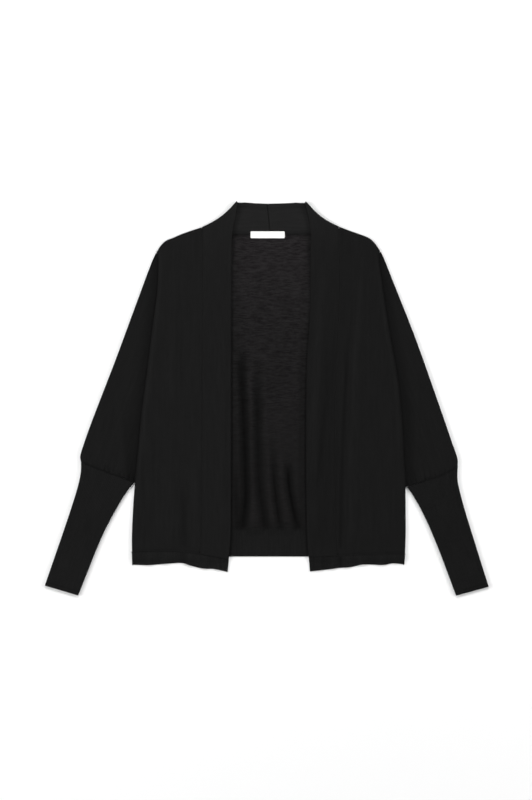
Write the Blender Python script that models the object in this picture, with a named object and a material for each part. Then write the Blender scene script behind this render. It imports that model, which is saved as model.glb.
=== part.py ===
"""An open-front knitted cardigan with batwing sleeves and long cuffs, laid out flat on its back.

Sizes are in millimetres until a mesh is made. +X is the wearer's left, +Y runs to the collar and +Z
is up, off the surface that the cardigan lies on. The layers lie as they do on a table: the back and
the lower faces of the sleeves and cuffs on the surface, the fronts on the back, and the front band
on top, folded at the neck so that it comes round behind as the collar.
"""

from bisect import bisect
from collections import namedtuple
from math import cos, pi, radians, sin

import bmesh
import bpy
from mathutils import Vector

# ---------------------------------------------------------------- driving sizes, millimetres
MM = 0.001
CENTRE = (0.4, 1.11)    # middle of the outline, which is the origin

JERSEY = 1.2            # plain knit of the back, the fronts and the sleeves
RIB = 1.5               # fine rib of the cuffs
HEM = 1.6               # hem bands
BAND = 2.6              # front band and collar, doubled
BAND_EDGE = 1.0         # the band at its folded free edge
BAND_SEAM = 1.4         # the band where it is sewn on
BAND_WIDTH = 51.0
LABEL = 0.8
LABEL_SIZE = (60.0, 12.0)
LABEL_PLACE = (2.0, 293.6)      # middle of its upper edge
GAP = 0.35              # between two pieces at a seam, or one lying on another
BAND_CLEAR = 0.2        # added to that beside the front band, where both edges are slanted
ARMHOLE_RUNS = 12       # straight runs along an armhole
ARMHOLE_SHARE = 0.8     # of the outer edge of the front and back; the rest is the side seam

BACK_HEM_SEAM = -225.8  # y of the seam over the back's hem band
BACK_HEM_END = -275.6   # y of the back's lower edge
SLEEVE_TOP = 4.2        # height of the middle of a sleeve's upper face
CUFF_TOP = 4.1          # the same of a cuff
ROLL_ARMHOLE = 2.0      # how far a front swells beside its armhole
ROLL_SIDE = 0.9         # how far it swells beside its other outer edges
ROLL_WIDTH = 34.0
FOLD_SEWN = 1.1         # radius of the collar's fold at the sewn edge
FOLD_FREE = 2.9         # and at the free edge
FOLD_BOW = 5.0          # how far the fold's line sags
COLLAR_LOFT = 95.0      # how far down the front the collar's fold holds the band up
HEM_DROP = 11.0         # length over which a front hem comes down past the back's edge
ROLL_RISE = 9.0         # how far in from its outer edges a front leaves the back
TOP_RISE = 24.0         # the same, down from its shoulder
CORNER = (2.4, 0.6)     # from the front band's corner at the shoulder to the back's top edge
FRONT_LENGTH = 560.0
SLEEVE_LENGTH = 420.0
SLEEVE_START = 0.012    # share of the armhole above the sleeve's tip
SLEEVE_RISE = 28.0      # how far from its armhole a sleeve reaches its full height

# ---------------------------------------------------------------- plan of each half, x and y
# right is the wearer's right, at -X. Each row runs down or outwards, as its name says.
Side = namedtuple("Side", "sign shoulder armhole side overarm joint cuff_outer cuff_inner "
                  "free_edge free_lean collar_top neck hem_seam hem_end")

RIGHT = Side(
    sign=-1,
    shoulder=[(-113.8, 300.8), (-144.4, 290.4), (-163.3, 282.6), (-176.6, 276.8), (-185.8, 267.8),
              (-191.6, 258.2)],
    armhole=[(-191.6, 258.2), (-189.4, 240.0), (-191.5, 188.0), (-199.0, 130.0), (-209.0, 50.0),
             (-219.0, -27.0), (-225.0, -93.0), (-230.6, -145.7)],
    side=[(-230.6, -145.7), (-233.6, -184.6), (-236.0, -240.0), (-235.6, -268.0), (-235.3, -290.0)],
    overarm=[(-193.4, 256.2), (-201.4, 238.4), (-223.5, 179.4), (-264.8, 67.4), (-306.2, -40.0),
             (-322.6, -86.6), (-326.2, -101.0), (-324.6, -109.4)],
    joint=[(-231.4, -145.7), (-242.0, -140.5), (-260.0, -134.0), (-295.8, -121.0), (-324.6, -109.4)],
    cuff_outer=[(-324.6, -110.0), (-325.2, -128.6), (-331.3, -156.6), (-349.1, -212.6),
                (-388.2, -326.4)],
    cuff_inner=[(-232.2, -147.8), (-240.6, -157.3), (-258.3, -184.6), (-287.7, -240.6),
                (-329.4, -343.9)],
    free_edge=[(-66.2, -279.0), (-63.0, -240.0), (-62.0, -100.0), (-61.6, 120.0), (-60.6, 256.0)],
    free_lean=[(-60.6, 256.0), (-59.6, 287.0), (-54.6, 316.0)],
    collar_top=[(-52.2, 346.8), (-40.0, 344.6), (-24.0, 343.2), (1.4, 342.0)],
    neck=[(-112.4, 299.0), (-92.0, 292.6), (-62.0, 289.2), (6.6, 288.8)],
    hem_seam=[(-235.8, -268.0), (-168.0, -266.7), (-140.0, -268.6), (-100.0, -275.0), (-66.0, -281.5)],
    hem_end=[(-235.3, -290.0), (-206.0, -290.6), (-168.0, -287.8), (-147.0, -287.2), (-133.0, -291.6),
             (-112.0, -296.6), (-92.0, -297.6), (-68.3, -302.8)])

LEFT = Side(
    sign=1,
    shoulder=[(127.2, 301.9), (142.0, 296.0), (160.3, 289.6), (180.6, 281.2), (191.4, 270.4),
              (197.8, 260.8)],
    armhole=[(197.8, 260.8), (197.0, 240.0), (202.6, 200.0), (216.4, 111.0), (229.0, 40.0),
             (236.6, -27.0), (240.6, -100.0), (243.6, -152.1)],
    side=[(243.6, -152.1), (243.8, -190.0), (243.8, -240.0), (242.8, -272.0), (241.0, -289.6)],
    overarm=[(200.3, 258.0), (207.0, 243.0), (221.0, 207.4), (259.7, 109.4), (298.8, -0.6),
             (325.4, -77.6), (334.2, -104.0), (334.4, -118.0)],
    joint=[(244.4, -152.4), (257.8, -148.4), (283.3, -140.4), (309.0, -132.0), (334.4, -118.0)],
    cuff_outer=[(334.4, -118.6), (334.4, -142.6), (344.4, -184.6), (361.4, -240.6), (389.0, -328.4)],
    cuff_inner=[(245.3, -154.4), (253.0, -164.2), (272.6, -198.0), (297.6, -254.6), (331.6, -344.2)],
    free_edge=[(73.6, -274.0), (71.2, -240.0), (69.2, -110.0), (70.4, 50.0), (76.0, 150.0),
               (77.0, 256.0)],
    free_lean=[(77.0, 256.0), (77.2, 287.0), (74.0, 316.0)],
    collar_top=[(69.2, 346.4), (56.0, 344.4), (36.0, 343.0), (1.4, 342.0)],
    neck=[(126.0, 300.2), (104.0, 293.4), (72.0, 289.4), (6.6, 288.8)],
    hem_seam=[(242.6, -271.2), (206.0, -272.0), (160.0, -273.6), (100.0, -276.5), (74.0, -277.0)],
    hem_end=[(241.4, -289.6), (222.0, -287.6), (206.0, -290.4), (168.0, -289.8), (148.0, -294.2),
             (126.0, -295.8), (104.0, -298.8), (76.1, -301.9)])

# ---------------------------------------------------------------- folds, one row each
# A fold is a soft ridge, or with a height below zero a trough. Its middle runs through three points
# from its top to its lower end; left and right are its half widths, fade_* the lengths of its ends.
Fold = namedtuple("Fold", "x_top y_top x_mid y_mid x_end y_end left right height fade_top fade_end")

# The hem band gathers the back up off the surface between the fronts, and deep creases run down it.
# share is how much of that lift a crease takes away.
Crease = namedtuple("Crease", "x_top y_top x_mid y_mid x_end y_end half_width share fade_top")
BACK_LIFT = 6.4
LIFT_TOP = 175.0        # y where the lift starts
LIFT_LENGTH = 190.0     # from there to its full height
LIFT_SIDE = 15.0        # the same, in from a front's free edge
LIFT_SEAM = 0.5         # the share of it that is left at the hem band's seam
LIFT_END = 15.0         # how far above the seam it is whole again, and below the seam it is gone
BACK_CREASES = [
    Crease(-46.5, 106.0, -36.5, -165.0, -42.5, -226.0, 12.5, 0.96, 60.0),
    Crease(-17.5, 84.0, -13.0, -140.0, -2.5, -226.0, 12.5, 0.84, 90.0),
    Crease(9.0, -50.0, 13.8, -150.0, 23.5, -226.0, 9.5, 0.78, 95.0),
    Crease(37.0, -96.0, 39.6, -155.0, 53.0, -226.0, 10.5, 0.94, 42.0),
    Crease(-57.0, -104.0, -54.0, -160.0, -53.5, -226.0, 8.0, 0.50, 70.0),
]
FRONT_FOLDS = {
    -1: [Fold(-76.0, 170.0, -77.0, -60.0, -79.0, -262.0, 13.0, 13.0, 1.8, 110.0, 70.0),
         Fold(-126.0, -70.0, -123.0, -170.0, -121.0, -264.0, 14.0, 12.0, 2.2, 80.0, 34.0),
         Fold(-168.0, 225.0, -163.0, 110.0, -166.0, -60.0, 15.0, 17.0, 1.8, 80.0, 100.0),
         Fold(-173.0, -70.0, -168.0, -170.0, -166.0, -264.0, 14.0, 16.0, 2.4, 90.0, 34.0),
         Fold(-204.0, -30.0, -207.0, -150.0, -206.0, -264.0, 11.0, 13.0, 1.6, 90.0, 34.0)],
    1: [Fold(170.0, 262.0, 150.0, 0.0, 145.0, -266.0, 9.0, 22.0, 3.0, 170.0, 34.0),
        Fold(100.0, 190.0, 92.0, 30.0, 84.0, -170.0, 13.0, 13.0, 1.9, 90.0, 100.0),
        Fold(122.0, 0.0, 117.0, -130.0, 114.0, -264.0, 13.0, 10.0, 1.8, 110.0, 34.0),
        Fold(206.0, 90.0, 208.0, -90.0, 206.0, -266.0, 14.0, 16.0, 1.7, 120.0, 34.0)],
}
SLEEVE_FOLDS = {
    -1: [Fold(-262.0, 40.0, -254.0, -60.0, -245.0, -132.0, 9.0, 12.0, 1.3, 80.0, 22.0),
         Fold(-287.0, 0.0, -291.0, -60.0, -293.0, -106.0, 10.0, 8.0, 0.9, 50.0, 26.0)],
    1: [Fold(262.0, 60.0, 264.0, -40.0, 258.0, -138.0, 12.0, 9.0, 1.4, 90.0, 22.0),
        Fold(292.0, -10.0, 301.0, -66.0, 306.0, -116.0, 8.0, 10.0, 0.9, 50.0, 26.0)],
}

# Ripples along the lower edge of each front hem, and the gathers where a sleeve is drawn into its
# cuff: part is how far each lies across the face, from the underarm to the overarm.
Ripple = namedtuple("Ripple", "x half_width height")
RIPPLES = {
    -1: [Ripple(-206, 13, 1.5), Ripple(-176, 11, 1.8), Ripple(-136, 14, 2.3), Ripple(-108, 10, 1.8),
         Ripple(-86, 9, 1.4)],
    1: [Ripple(92, 9, 1.4), Ripple(116, 10, 2.0), Ripple(140, 10, 1.6), Ripple(167, 13, 2.4),
        Ripple(201, 13, 1.6), Ripple(225, 8, 1.2)],
}
RIPPLE_LENGTH = 24.0
Gather = namedtuple("Gather", "part height length")
GATHERS_OVER = [Gather(0.07, 1.3, 20), Gather(0.16, 1.7, 28), Gather(0.24, 1.2, 16),
                Gather(0.33, 1.6, 24), Gather(0.42, 1.3, 18), Gather(0.52, 1.7, 27),
                Gather(0.61, 1.2, 17), Gather(0.70, 1.5, 22), Gather(0.80, 1.2, 15),
                Gather(0.90, 1.3, 19)]
GATHERS_UNDER = [Gather(0.09, 1.0, 18), Gather(0.20, 1.2, 22), Gather(0.31, 0.9, 15),
                 Gather(0.42, 1.2, 20), Gather(0.53, 1.0, 16), Gather(0.65, 1.2, 22),
                 Gather(0.77, 0.9, 15), Gather(0.89, 1.1, 18)]
GATHER_PITCH = 4.2      # half width of one gather

BLACK_FACE = (0.0116, 0.0116, 0.0120, 1.0)      # linear
BLACK_PURL = (0.0194, 0.0185, 0.0194, 1.0)
BLACK_RIB = (0.0103, 0.0100, 0.0103, 1.0)
WHITE_LABEL = (0.80, 0.80, 0.78, 1.0)


# ---------------------------------------------------------------- lines and surfaces
def ease(part):
    """0 to 1, level at both ends."""
    part = min(max(part, 0.0), 1.0)
    return part * part * (3.0 - 2.0 * part)


def blend(a, b, part):
    return a + (b - a) * part


def steps(count, start=0.0, end=1.0):
    """Count spaces of equal length, as count + 1 values."""
    return [blend(start, end, i / count) for i in range(count + 1)]


def spline(knots, values):
    """A smooth function through values at rising knots."""
    last = len(knots) - 1
    slopes = []
    for i in range(last + 1):
        lo, hi = max(i - 1, 0), min(i + 1, last)
        slopes.append((values[hi] - values[lo]) / (knots[hi] - knots[lo]))

    def at(place):
        i = min(max(bisect(knots, place) - 1, 0), last - 1)
        span = knots[i + 1] - knots[i]
        u = (place - knots[i]) / span
        return (values[i] * (1 + 2 * u) * (1 - u) ** 2 + slopes[i] * (span * u * (1 - u) ** 2)
                + values[i + 1] * (u * u * (3 - 2 * u)) + slopes[i + 1] * (span * u * u * (u - 1)))
    return at


def line(points, shift=(0.0, 0.0)):
    """A smooth plan line through the points, as a function of 0 to 1 along it."""
    points = [Vector(p) + Vector(shift) for p in points]
    knots = [0.0]
    for a, b in zip(points, points[1:]):
        knots.append(knots[-1] + (b - a).length)
    through = spline(knots, points)
    return lambda part: through(part * knots[-1])


def facets(smooth, count):
    """The same line in count straight runs, so that the pieces sewn along it keep their gap."""
    corners = [smooth(part) for part in steps(count)]

    def at(part):
        i = min(int(part * count), count - 1)
        return blend(corners[i], corners[i + 1], part * count - i)
    return at


def join(first, second, share):
    """Two lines end to end, the first taking the given share of 0 to 1."""
    return lambda part: first(part / share) if part < share else second((part - share) / (1 - share))


def chord(a, b):
    return lambda part: blend(a, b, part)


def patch(top, bottom, near, far):
    """The plan between four edges; near and far run from top to bottom, across and down are 0 to 1."""
    def at(across, down):
        edges = (blend(top(across), bottom(across), down) + blend(near(down), far(down), across))
        corners = blend(blend(near(0), far(0), across), blend(near(1), far(1), across), down)
        return edges - corners
    return at


def fold_height(folds, x, y):
    """What the folds add to the height at a plan point."""
    total = 0.0
    for f in folds:
        if f.y_end < y < f.y_top:
            middle = spline((f.y_end, f.y_mid, f.y_top), (f.x_end, f.x_mid, f.x_top))(y)
            off = (x - middle) / (f.left if x < middle else f.right)
            if abs(off) < 1:
                ends = ease((f.y_top - y) / f.fade_top) * ease((y - f.y_end) / f.fade_end)
                total += f.height * ends * cos(off * pi / 2) ** 2
    return total


def shown(y):
    """The x of both fronts' free edges at y: the back shows between them."""
    return [spline([p[1] for p in s.free_edge], [p[0] for p in s.free_edge])(min(y, s.free_edge[-1][1]))
            for s in (RIGHT, LEFT)]


def back_lift(x, y):
    """How far the back and its hem band are raised off the surface at a plan point."""
    free = shown(y)
    within = min(x - free[0], free[1] - x) - 1.0
    lift = BACK_LIFT * ease((LIFT_TOP - y) / LIFT_LENGTH) * ease(within / LIFT_SIDE)
    above, below = ease((y - BACK_HEM_SEAM) / LIFT_END), ease((BACK_HEM_SEAM - y) / LIFT_END)
    lift *= blend(LIFT_SEAM, 1.0, above) * (1 - below)
    for c in BACK_CREASES:
        if y < c.y_top and lift > 0:
            middle = spline((c.y_end, c.y_mid, c.y_top), (c.x_end, c.x_mid, c.x_top))(max(y, c.y_end))
            off = min(abs(x - middle) / c.half_width, 1.0)
            lift *= 1 - c.share * ease((c.y_top - y) / c.fade_top) * cos(off * pi / 2) ** 2
    return lift


# ---------------------------------------------------------------- cloth as a closed wall
def strip(points, a, b):
    """Triangles between two rows of point numbers, paired by how far each lies along its row."""
    shares = []
    for row in (a, b):
        run = [0.0]
        for p, q in zip(row, row[1:]):
            run.append(run[-1] + (1.0 if len(a) == len(b) else (points[q] - points[p]).length))
        shares.append([r / run[-1] for r in run] + [2.0])
    faces = []
    i = j = 0
    while i < len(a) - 1 or j < len(b) - 1:
        if shares[0][i + 1] <= shares[1][j + 1]:
            faces.append((a[i], b[j], a[i + 1]))
            i += 1
        else:
            faces.append((a[i], b[j], b[j + 1]))
            j += 1
    return faces


def wall(name, rows, material, ring=False):
    """One closed body round rows of (x, y, z, thickness), which lie on the middle of the cloth."""
    points, thickness, numbers = [], [], []
    for row in rows:
        first = len(points)
        for x, y, z, t in row:
            points.append(Vector((x - CENTRE[0], y - CENTRE[1], z)) * MM)
            thickness.append(t * MM)
        numbers.append(list(range(first, len(points))) + ([first] if ring else []))
    faces = [face for a, b in zip(numbers, numbers[1:]) for face in strip(points, a, b)]

    normals = [Vector((0, 0, 0)) for _ in points]
    for a, b, c in faces:
        facing = (points[b] - points[a]).cross(points[c] - points[a])
        for corner in (a, b, c):
            normals[corner] += facing
    edges = {(face[k], face[(k + 1) % 3]) for face in faces for k in range(3)}
    rim = [(a, b) for a, b in edges if (b, a) not in edges]

    body = bmesh.new()
    half = [n.normalized() * (t / 2) for n, t in zip(normals, thickness)]
    upper = [body.verts.new(p + h) for p, h in zip(points, half)]
    lower = [body.verts.new(p - h) for p, h in zip(points, half)]
    for a, b, c in faces:
        body.faces.new((upper[a], upper[b], upper[c]))
        body.faces.new((lower[c], lower[b], lower[a]))
    for a, b in sorted(rim):
        body.faces.new((upper[b], upper[a], lower[a]))
        body.faces.new((upper[b], lower[a], lower[b]))
    bmesh.ops.recalc_face_normals(body, faces=body.faces)
    mesh = bpy.data.meshes.new(name)
    body.to_mesh(mesh)
    body.free()
    mesh.shade_smooth()
    mesh.set_sharp_from_angle(angle=radians(50))
    mesh.materials.append(material)
    piece = bpy.data.objects.new(name, mesh)
    bpy.context.scene.collection.objects.link(piece)
    return piece


def cloth(name, color, roughness):
    material = bpy.data.materials.new(name)
    material.use_nodes = True
    shader = material.node_tree.nodes["Principled BSDF"]
    shader.inputs["Base Color"].default_value = color
    shader.inputs["Roughness"].default_value = roughness
    shader.inputs["Metallic"].default_value = 0.0
    return material


for old in list(bpy.data.objects):
    bpy.data.objects.remove(old, do_unlink=True)

jersey = cloth("black jersey knit", BLACK_FACE, 0.92)
purl = cloth("black jersey knit, purl side", BLACK_PURL, 0.95)
rib = cloth("black rib knit", BLACK_RIB, 0.92)
woven = cloth("white woven label tape", WHITE_LABEL, 0.6)


# ---------------------------------------------------------------- back, and its hem band
COLLAR_RUNS = [0.08, 0.2, 0.34, 0.5, 0.66, 0.83, 1.0]     # stations of the collar behind the neck


def back_columns(y, right, left, count):
    """Shares from x right to left at y: count spaces where the back shows, three beside each."""
    near, far = [(free - right) / (left - right) for free in shown(y)]
    return steps(3, 0.0, near)[:-1] + steps(count, near, far) + steps(3, far, 1.0)[1:]


def back():
    """Flat on the surface, but for the waves that the hem band draws up between the fronts."""
    outer, top_row = {}, []
    for s in (RIGHT, LEFT):
        inwards = (-s.sign * GAP, 0.0)
        cut = [p for p in s.side if p[1] > BACK_HEM_SEAM]
        side_x = spline([-p[1] for p in s.side], [p[0] for p in s.side])(-BACK_HEM_SEAM)
        side = line(cut + [(side_x, BACK_HEM_SEAM + GAP)], inwards)
        outer[s.sign] = join(facets(line(s.armhole, inwards), ARMHOLE_RUNS), side, ARMHOLE_SHARE)
        # The half of the top edge: the shoulder, then just below the collar's sewn edge.
        half = [outer[s.sign](0)] + [Vector(p) for p in s.shoulder[-2:0:-1]]
        half += [Vector((s.neck[0][0] + s.sign * CORNER[0], s.neck[0][1] + CORNER[1]))]
        half += [line(s.neck)(run) for run in COLLAR_RUNS]
        half = half[:1] + [p - Vector((0, GAP)) for p in half[1:]]
        top_row += half if s is RIGHT else half[-2::-1]
    top_y = spline([p.x for p in top_row], [p.y for p in top_row])
    right, left = outer[-1], outer[1]

    def top(across):
        x = blend(right(0).x, left(0).x, across)
        return Vector((x, top_y(x)))

    at = patch(top, chord(right(1), left(1)), right, left)
    rows = [[(p.x, p.y, JERSEY / 2, JERSEY) for p in top_row]]
    plain_above = 0.24               # down the back, above its waves
    runs = steps(ARMHOLE_RUNS, 0.0, ARMHOLE_SHARE)[1:]
    for down in runs + [0.84, 0.88, 0.92, 0.95, 0.972, 0.984, 0.993, 1.0]:
        row = []
        ends = right(down), left(down)
        for across in back_columns(ends[0].y, ends[0].x, ends[1].x, 5 if down < plain_above else 44):
            x, y = at(across, down)
            row.append((x, y, JERSEY / 2 + back_lift(x, y), JERSEY))
        rows.append(row)
    wall("back", rows, purl)


def back_hem():
    """A plain band sewn to the back's lower edge, which brings its waves down to the surface."""
    sides = [spline([-p[1] for p in s.side], [p[0] - s.sign * GAP for p in s.side]) for s in (RIGHT, LEFT)]
    rows = []
    for down in (0.0, 0.06, 0.12, 0.18, 0.25, 0.32, 0.6, 1.0):
        y = blend(BACK_HEM_SEAM, BACK_HEM_END, down)
        ends = [side(-y) for side in sides]
        row = []
        for across in back_columns(y, *ends, 44 if down < 0.32 else 5):
            x = blend(*ends, across)
            row.append((x, y, HEM / 2 + back_lift(x, y), HEM))
        rows.append(row)
    wall("hem_back", rows, rib)


# ---------------------------------------------------------------- the front layer
def beneath(y):
    """The top of what the fronts lie on: the back, or its hem band, which is thicker."""
    return blend(JERSEY, HEM, ease((BACK_HEM_SEAM + 16.0 - y) / 14.0))


def front_height(s, x, y):
    """The middle of the front layer: the panel, its hem band and the front band share it."""
    laid = beneath(y) + GAP + BAND / 2
    past = ease((BACK_HEM_END - 1.5 - y) / HEM_DROP)
    height = blend(laid, HEM / 2, past) + fold_height(FRONT_FOLDS[s.sign], x, y)
    low = ease((BACK_HEM_END + RIPPLE_LENGTH / 2 - y) / RIPPLE_LENGTH)
    for r in RIPPLES[s.sign]:
        off = (x - r.x) / r.half_width
        if abs(off) < 1:
            height += r.height * low * cos(off * pi / 2) ** 2
    return height


def hem_seam_y(s):
    """The seam over a front hem, as y by x."""
    points = sorted(s.hem_seam)
    return spline([p[0] for p in points], [p[1] for p in points])


def front(s, name):
    """A front panel, lying on the back: rolled at its armhole, sewn down along its outer edges."""
    seam_y = hem_seam_y(s)
    side = [p for p in s.side if p[1] > -262.0]
    foot = (s.hem_seam[0][0], s.hem_seam[0][1] + GAP)
    inwards = (-s.sign * GAP, 0)
    outer = join(facets(line(s.armhole, inwards), ARMHOLE_RUNS), line(side + [foot], inwards), ARMHOLE_SHARE)
    outwards = Vector((s.sign * (GAP + BAND_CLEAR), 0))
    corner = Vector(s.shoulder[0]) + Vector((s.sign * 2 * GAP, -GAP))
    below_corner = Vector(s.neck[0]) + Vector((s.sign * 2 * GAP, -6.0))
    seam = [Vector((x + s.sign * BAND_WIDTH, y)) + outwards for x, y in s.free_edge]
    inner_foot = Vector((seam[0].x, seam_y(seam[0].x) + GAP))
    inner = line([corner, below_corner] + seam[:0:-1] + [inner_foot])
    shoulder = line([corner] + s.shoulder[1:-1] + [outer(0)])

    def foot_line(across):
        x = blend(outer(1).x, inner_foot.x, across)
        return Vector((x, seam_y(x) + GAP))

    at = patch(lambda across: shoulder(1 - across), foot_line, outer, inner)
    rows = []
    runs = steps(ARMHOLE_RUNS, 0.0, ARMHOLE_SHARE)
    for down in runs[:1] + [0.012, 0.035] + runs[1:] + [0.86, 0.92, 0.97, 1.0]:
        row = []
        for across in [0, .025, .065, .12, .19, .28, .38, .48, .58, .68, .78, .89, 1.0]:
            x, y = at(across, down)
            width = abs(inner(down).x - outer(down).x)
            from_side, from_seam, from_top = across * width, (1 - across) * width, down * FRONT_LENGTH
            roll = blend(ROLL_ARMHOLE, ROLL_SIDE, ease((down - ARMHOLE_SHARE) / 0.14 + 1))
            off = min(from_side, ROLL_WIDTH) / ROLL_WIDTH
            swell = roll * sin(pi * off ** 0.6) * ease(from_top / ROLL_WIDTH) * ease(from_seam / 20)
            sewn_side = 1 - ease(from_side / ROLL_RISE)
            sewn_top = (1 - ease(from_top / TOP_RISE)) * ease(from_seam / TOP_RISE)
            sewn_down = (BAND - JERSEY) / 2 * max(sewn_side, sewn_top)
            row.append((x, y, front_height(s, x, y) + swell - sewn_down, JERSEY))
        rows.append(row)
    wall(name, rows, jersey)


def front_hem(s, name):
    """The band along the lower edge of a front: past the back's edge it comes down to the surface."""
    seam_y = hem_seam_y(s)
    end = line(s.hem_end)
    near = Vector((s.hem_seam[0][0], s.hem_seam[0][1] - GAP))
    far = Vector((s.hem_seam[-1][0], s.hem_seam[-1][1] - GAP))

    def top(across):
        x = blend(near.x, far.x, across)
        return Vector((x, seam_y(x) - GAP))

    at = patch(top, end, chord(near, end(0)), chord(far, end(1)))
    rows = []
    for down in steps(4):
        row = []
        for across in steps(30):
            x, y = at(across, down)
            row.append((x, y, front_height(s, x, y), HEM))
        rows.append(row)
    wall(name, rows, rib)


# ---------------------------------------------------------------- front band and collar
def band(s, name):
    """Half of the doubled band: up the front, folded at the neck, and behind to the centre back."""
    seam_y = hem_seam_y(s)
    across = [0.0, 0.05, 0.14, 0.32, 0.52, 0.72, 0.88, 0.965, 0.99, 1.0]

    def thickness(part):
        sewn = blend(BAND_SEAM, BAND, ease(part / 0.14))
        return blend(BAND_EDGE, sewn, min(1.0, max(0.0, 1 - part) / 0.035) ** 0.5)

    # The fold's line: outer is the outline, and its axis lies one radius and half a wall inside.
    sewn_end, free_end = Vector(s.shoulder[0]), Vector(s.collar_top[0])
    along = (free_end - sewn_end).normalized()
    out = Vector((-along.y, along.x)) * -s.sign

    def radius(part):
        return blend(FOLD_SEWN, FOLD_FREE, part)

    def axis(part):
        edge = blend(sewn_end, free_end, part) - out * (FOLD_BOW * sin(pi * part))
        return edge - out * (radius(part) + thickness(part) / 2)

    def height(part, plan):
        laid = front_height(s, plan.x, plan.y)
        folded = thickness(min(part, 0.9)) / 2 + 2 * radius(part)
        near = 1 - ease((axis(part) - plan).dot(out) / COLLAR_LOFT)
        return blend(laid, max(folded, laid), near)

    def fold_row(angle):
        row = []
        for part in across:
            r = radius(part)
            plan = axis(part) + out * (r * cos(angle))
            z = thickness(part) / 2 + r + r * sin(angle)
            row.append((plan.x, plan.y, z, thickness(part)))
        return row

    rows = []
    # Up the front.
    free = line(s.free_edge)
    foot = free(0)
    for up in [0.0, 0.012, 0.04] + steps(12, 0.09, 1.0):
        edge = free(up)
        row = []
        for part in across:
            plan = edge + Vector((s.sign * BAND_WIDTH * (1 - part), 0))
            plan.y += (seam_y(plan.x) + GAP - foot.y) * (1 - up)
            row.append((plan.x, plan.y, height(part, plan), thickness(part)))
        rows.append(row)
    # From the level run to the fold, the rows fan round to the fold's line.
    bow = [axis(part) - blend(axis(0), axis(1), part) for part in across]
    lean = line(s.free_lean + [axis(1)])
    sewn_level = Vector((s.free_lean[0][0] + s.sign * BAND_WIDTH, s.free_lean[0][1]))
    for turn in (0.2, 0.4, 0.6, 0.8, 0.93):
        row = []
        for part, bent in zip(across, bow):
            plan = blend(blend(sewn_level, axis(0), turn), lean(turn), part) + bent * ease(turn)
            row.append((plan.x, plan.y, height(part, plan), thickness(part)))
        rows.append(row)
    # Round the fold, and behind the neck to the centre back seam.
    rows += [fold_row(radians(a)) for a in (90, 50, 15, -20, -55, -90)]
    sewn, top = line(s.neck), line(s.collar_top)
    for run in COLLAR_RUNS:
        row = []
        for part, bent in zip(across, bow):
            plan = blend(sewn(run), top(run), part)
            plan += bent * (1 - ease(run / 0.5)) + (axis(1) - free_end) * (part * (1 - ease(run / 0.3)))
            if run == 1.0:
                plan.x += s.sign * GAP / 2
            row.append((plan.x, plan.y, thickness(part) / 2, thickness(part)))
        rows.append(row)
    wall(name, rows, jersey)


# ---------------------------------------------------------------- sleeves and cuffs
def flat_tube(at, over, under, top, low, thickness, height=None, lift=None, closed=False):
    """A section of flattened cloth: over, round its far fold, and back under; closed adds the near fold.

    at gives the plan by 0 to 1 across, over and under the columns of the two faces, top and low the
    heights of their middles. height replaces top, and lift raises the under face.
    """
    near, far = at(0), at(1)
    outwards = (far - near).normalized()
    r = (top - low) / 2
    inset = (r + thickness / 2) / (far - near).length
    first, last = (inset if closed else 0.0), 1 - inset

    def fold(place, way, angles):
        points = [at(place) + way * (r * cos(radians(a))) for a in angles]
        return [(p.x, p.y, low + r + r * sin(radians(a)), thickness) for p, a in zip(points, angles)]

    section = []
    for place in [blend(first, last, part) for part in over]:
        plan = at(place)
        section.append((plan.x, plan.y, height(place, plan) if height else top, thickness))
    section += fold(last, outwards, (50, 0, -50))
    for place in [blend(first, last, part) for part in reversed(under)]:
        plan = at(place)
        section.append((plan.x, plan.y, low + (lift(place) if lift else 0.0), thickness))
    return section + (fold(first, -outwards, (-50, 0, 50)) if closed else [])


def gather_height(gathers, part, width, from_joint):
    """What the gathers add to the height: small ridges that run up from the cuff and fade."""
    total = 0.0
    for g in gathers:
        off = (part - g.part) * width / GATHER_PITCH
        if abs(off) < 1:
            ends = (1 - ease(from_joint / g.length)) * blend(0.45, 1.0, ease(from_joint / 4))
            total += g.height * ends * cos(off * pi / 2) ** 2
    return total


def gather_columns(gathers):
    """A column on each gather and between each two."""
    peaks = [g.part for g in gathers]
    ends = [0.0, peaks[0] / 2, (1 + peaks[-1]) / 2, 1.0]
    return sorted(ends + peaks + [(a + b) / 2 for a, b in zip(peaks, peaks[1:])])


def sleeve(s, name):
    """One sheet, folded along the overarm, from the armhole to the gathers at the cuff."""
    armhole = facets(line(s.armhole, (s.sign * GAP, 0)), ARMHOLE_RUNS)

    def edge(down):
        return armhole(blend(SLEEVE_START, 1.0, down))

    at = patch(chord(edge(0), Vector(s.overarm[0])), line(s.joint), edge, line(s.overarm))
    sewn = JERSEY + GAP + JERSEY / 2
    runs = [(part - SLEEVE_START) / (1 - SLEEVE_START) for part in steps(ARMHOLE_RUNS)[1:-1]]
    rows = []
    for down in [0.0, 0.03] + runs + [1 - d / SLEEVE_LENGTH for d in (28, 16, 8, 3, 0)]:
        from_joint = (1 - down) * SLEEVE_LENGTH
        width = (at(1, down) - at(0, down)).length
        crown = blend(sewn, SLEEVE_TOP, ease(width / 60))

        def height(place, plan):
            rise = ease(place * width / min(SLEEVE_RISE, width))
            folds = fold_height(SLEEVE_FOLDS[s.sign], plan.x, plan.y)
            return blend(sewn, crown, rise) + folds + gather_height(GATHERS_OVER, place, width, from_joint)

        def lift(place):
            return gather_height(GATHERS_UNDER, place, width, from_joint)

        gathered = from_joint < SLEEVE_RISE + 1
        over = gather_columns(GATHERS_OVER) if gathered else [0, 0.05, 0.14, 0.28, 0.46, 0.66, 0.86, 1]
        under = gather_columns(GATHERS_UNDER) if gathered else [0, 0.3, 0.65, 1]
        rows.append(flat_tube(lambda across: at(across, down), over, under, crown, JERSEY / 2, JERSEY,
                              height, lift))
    wall(name, rows, jersey)


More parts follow.
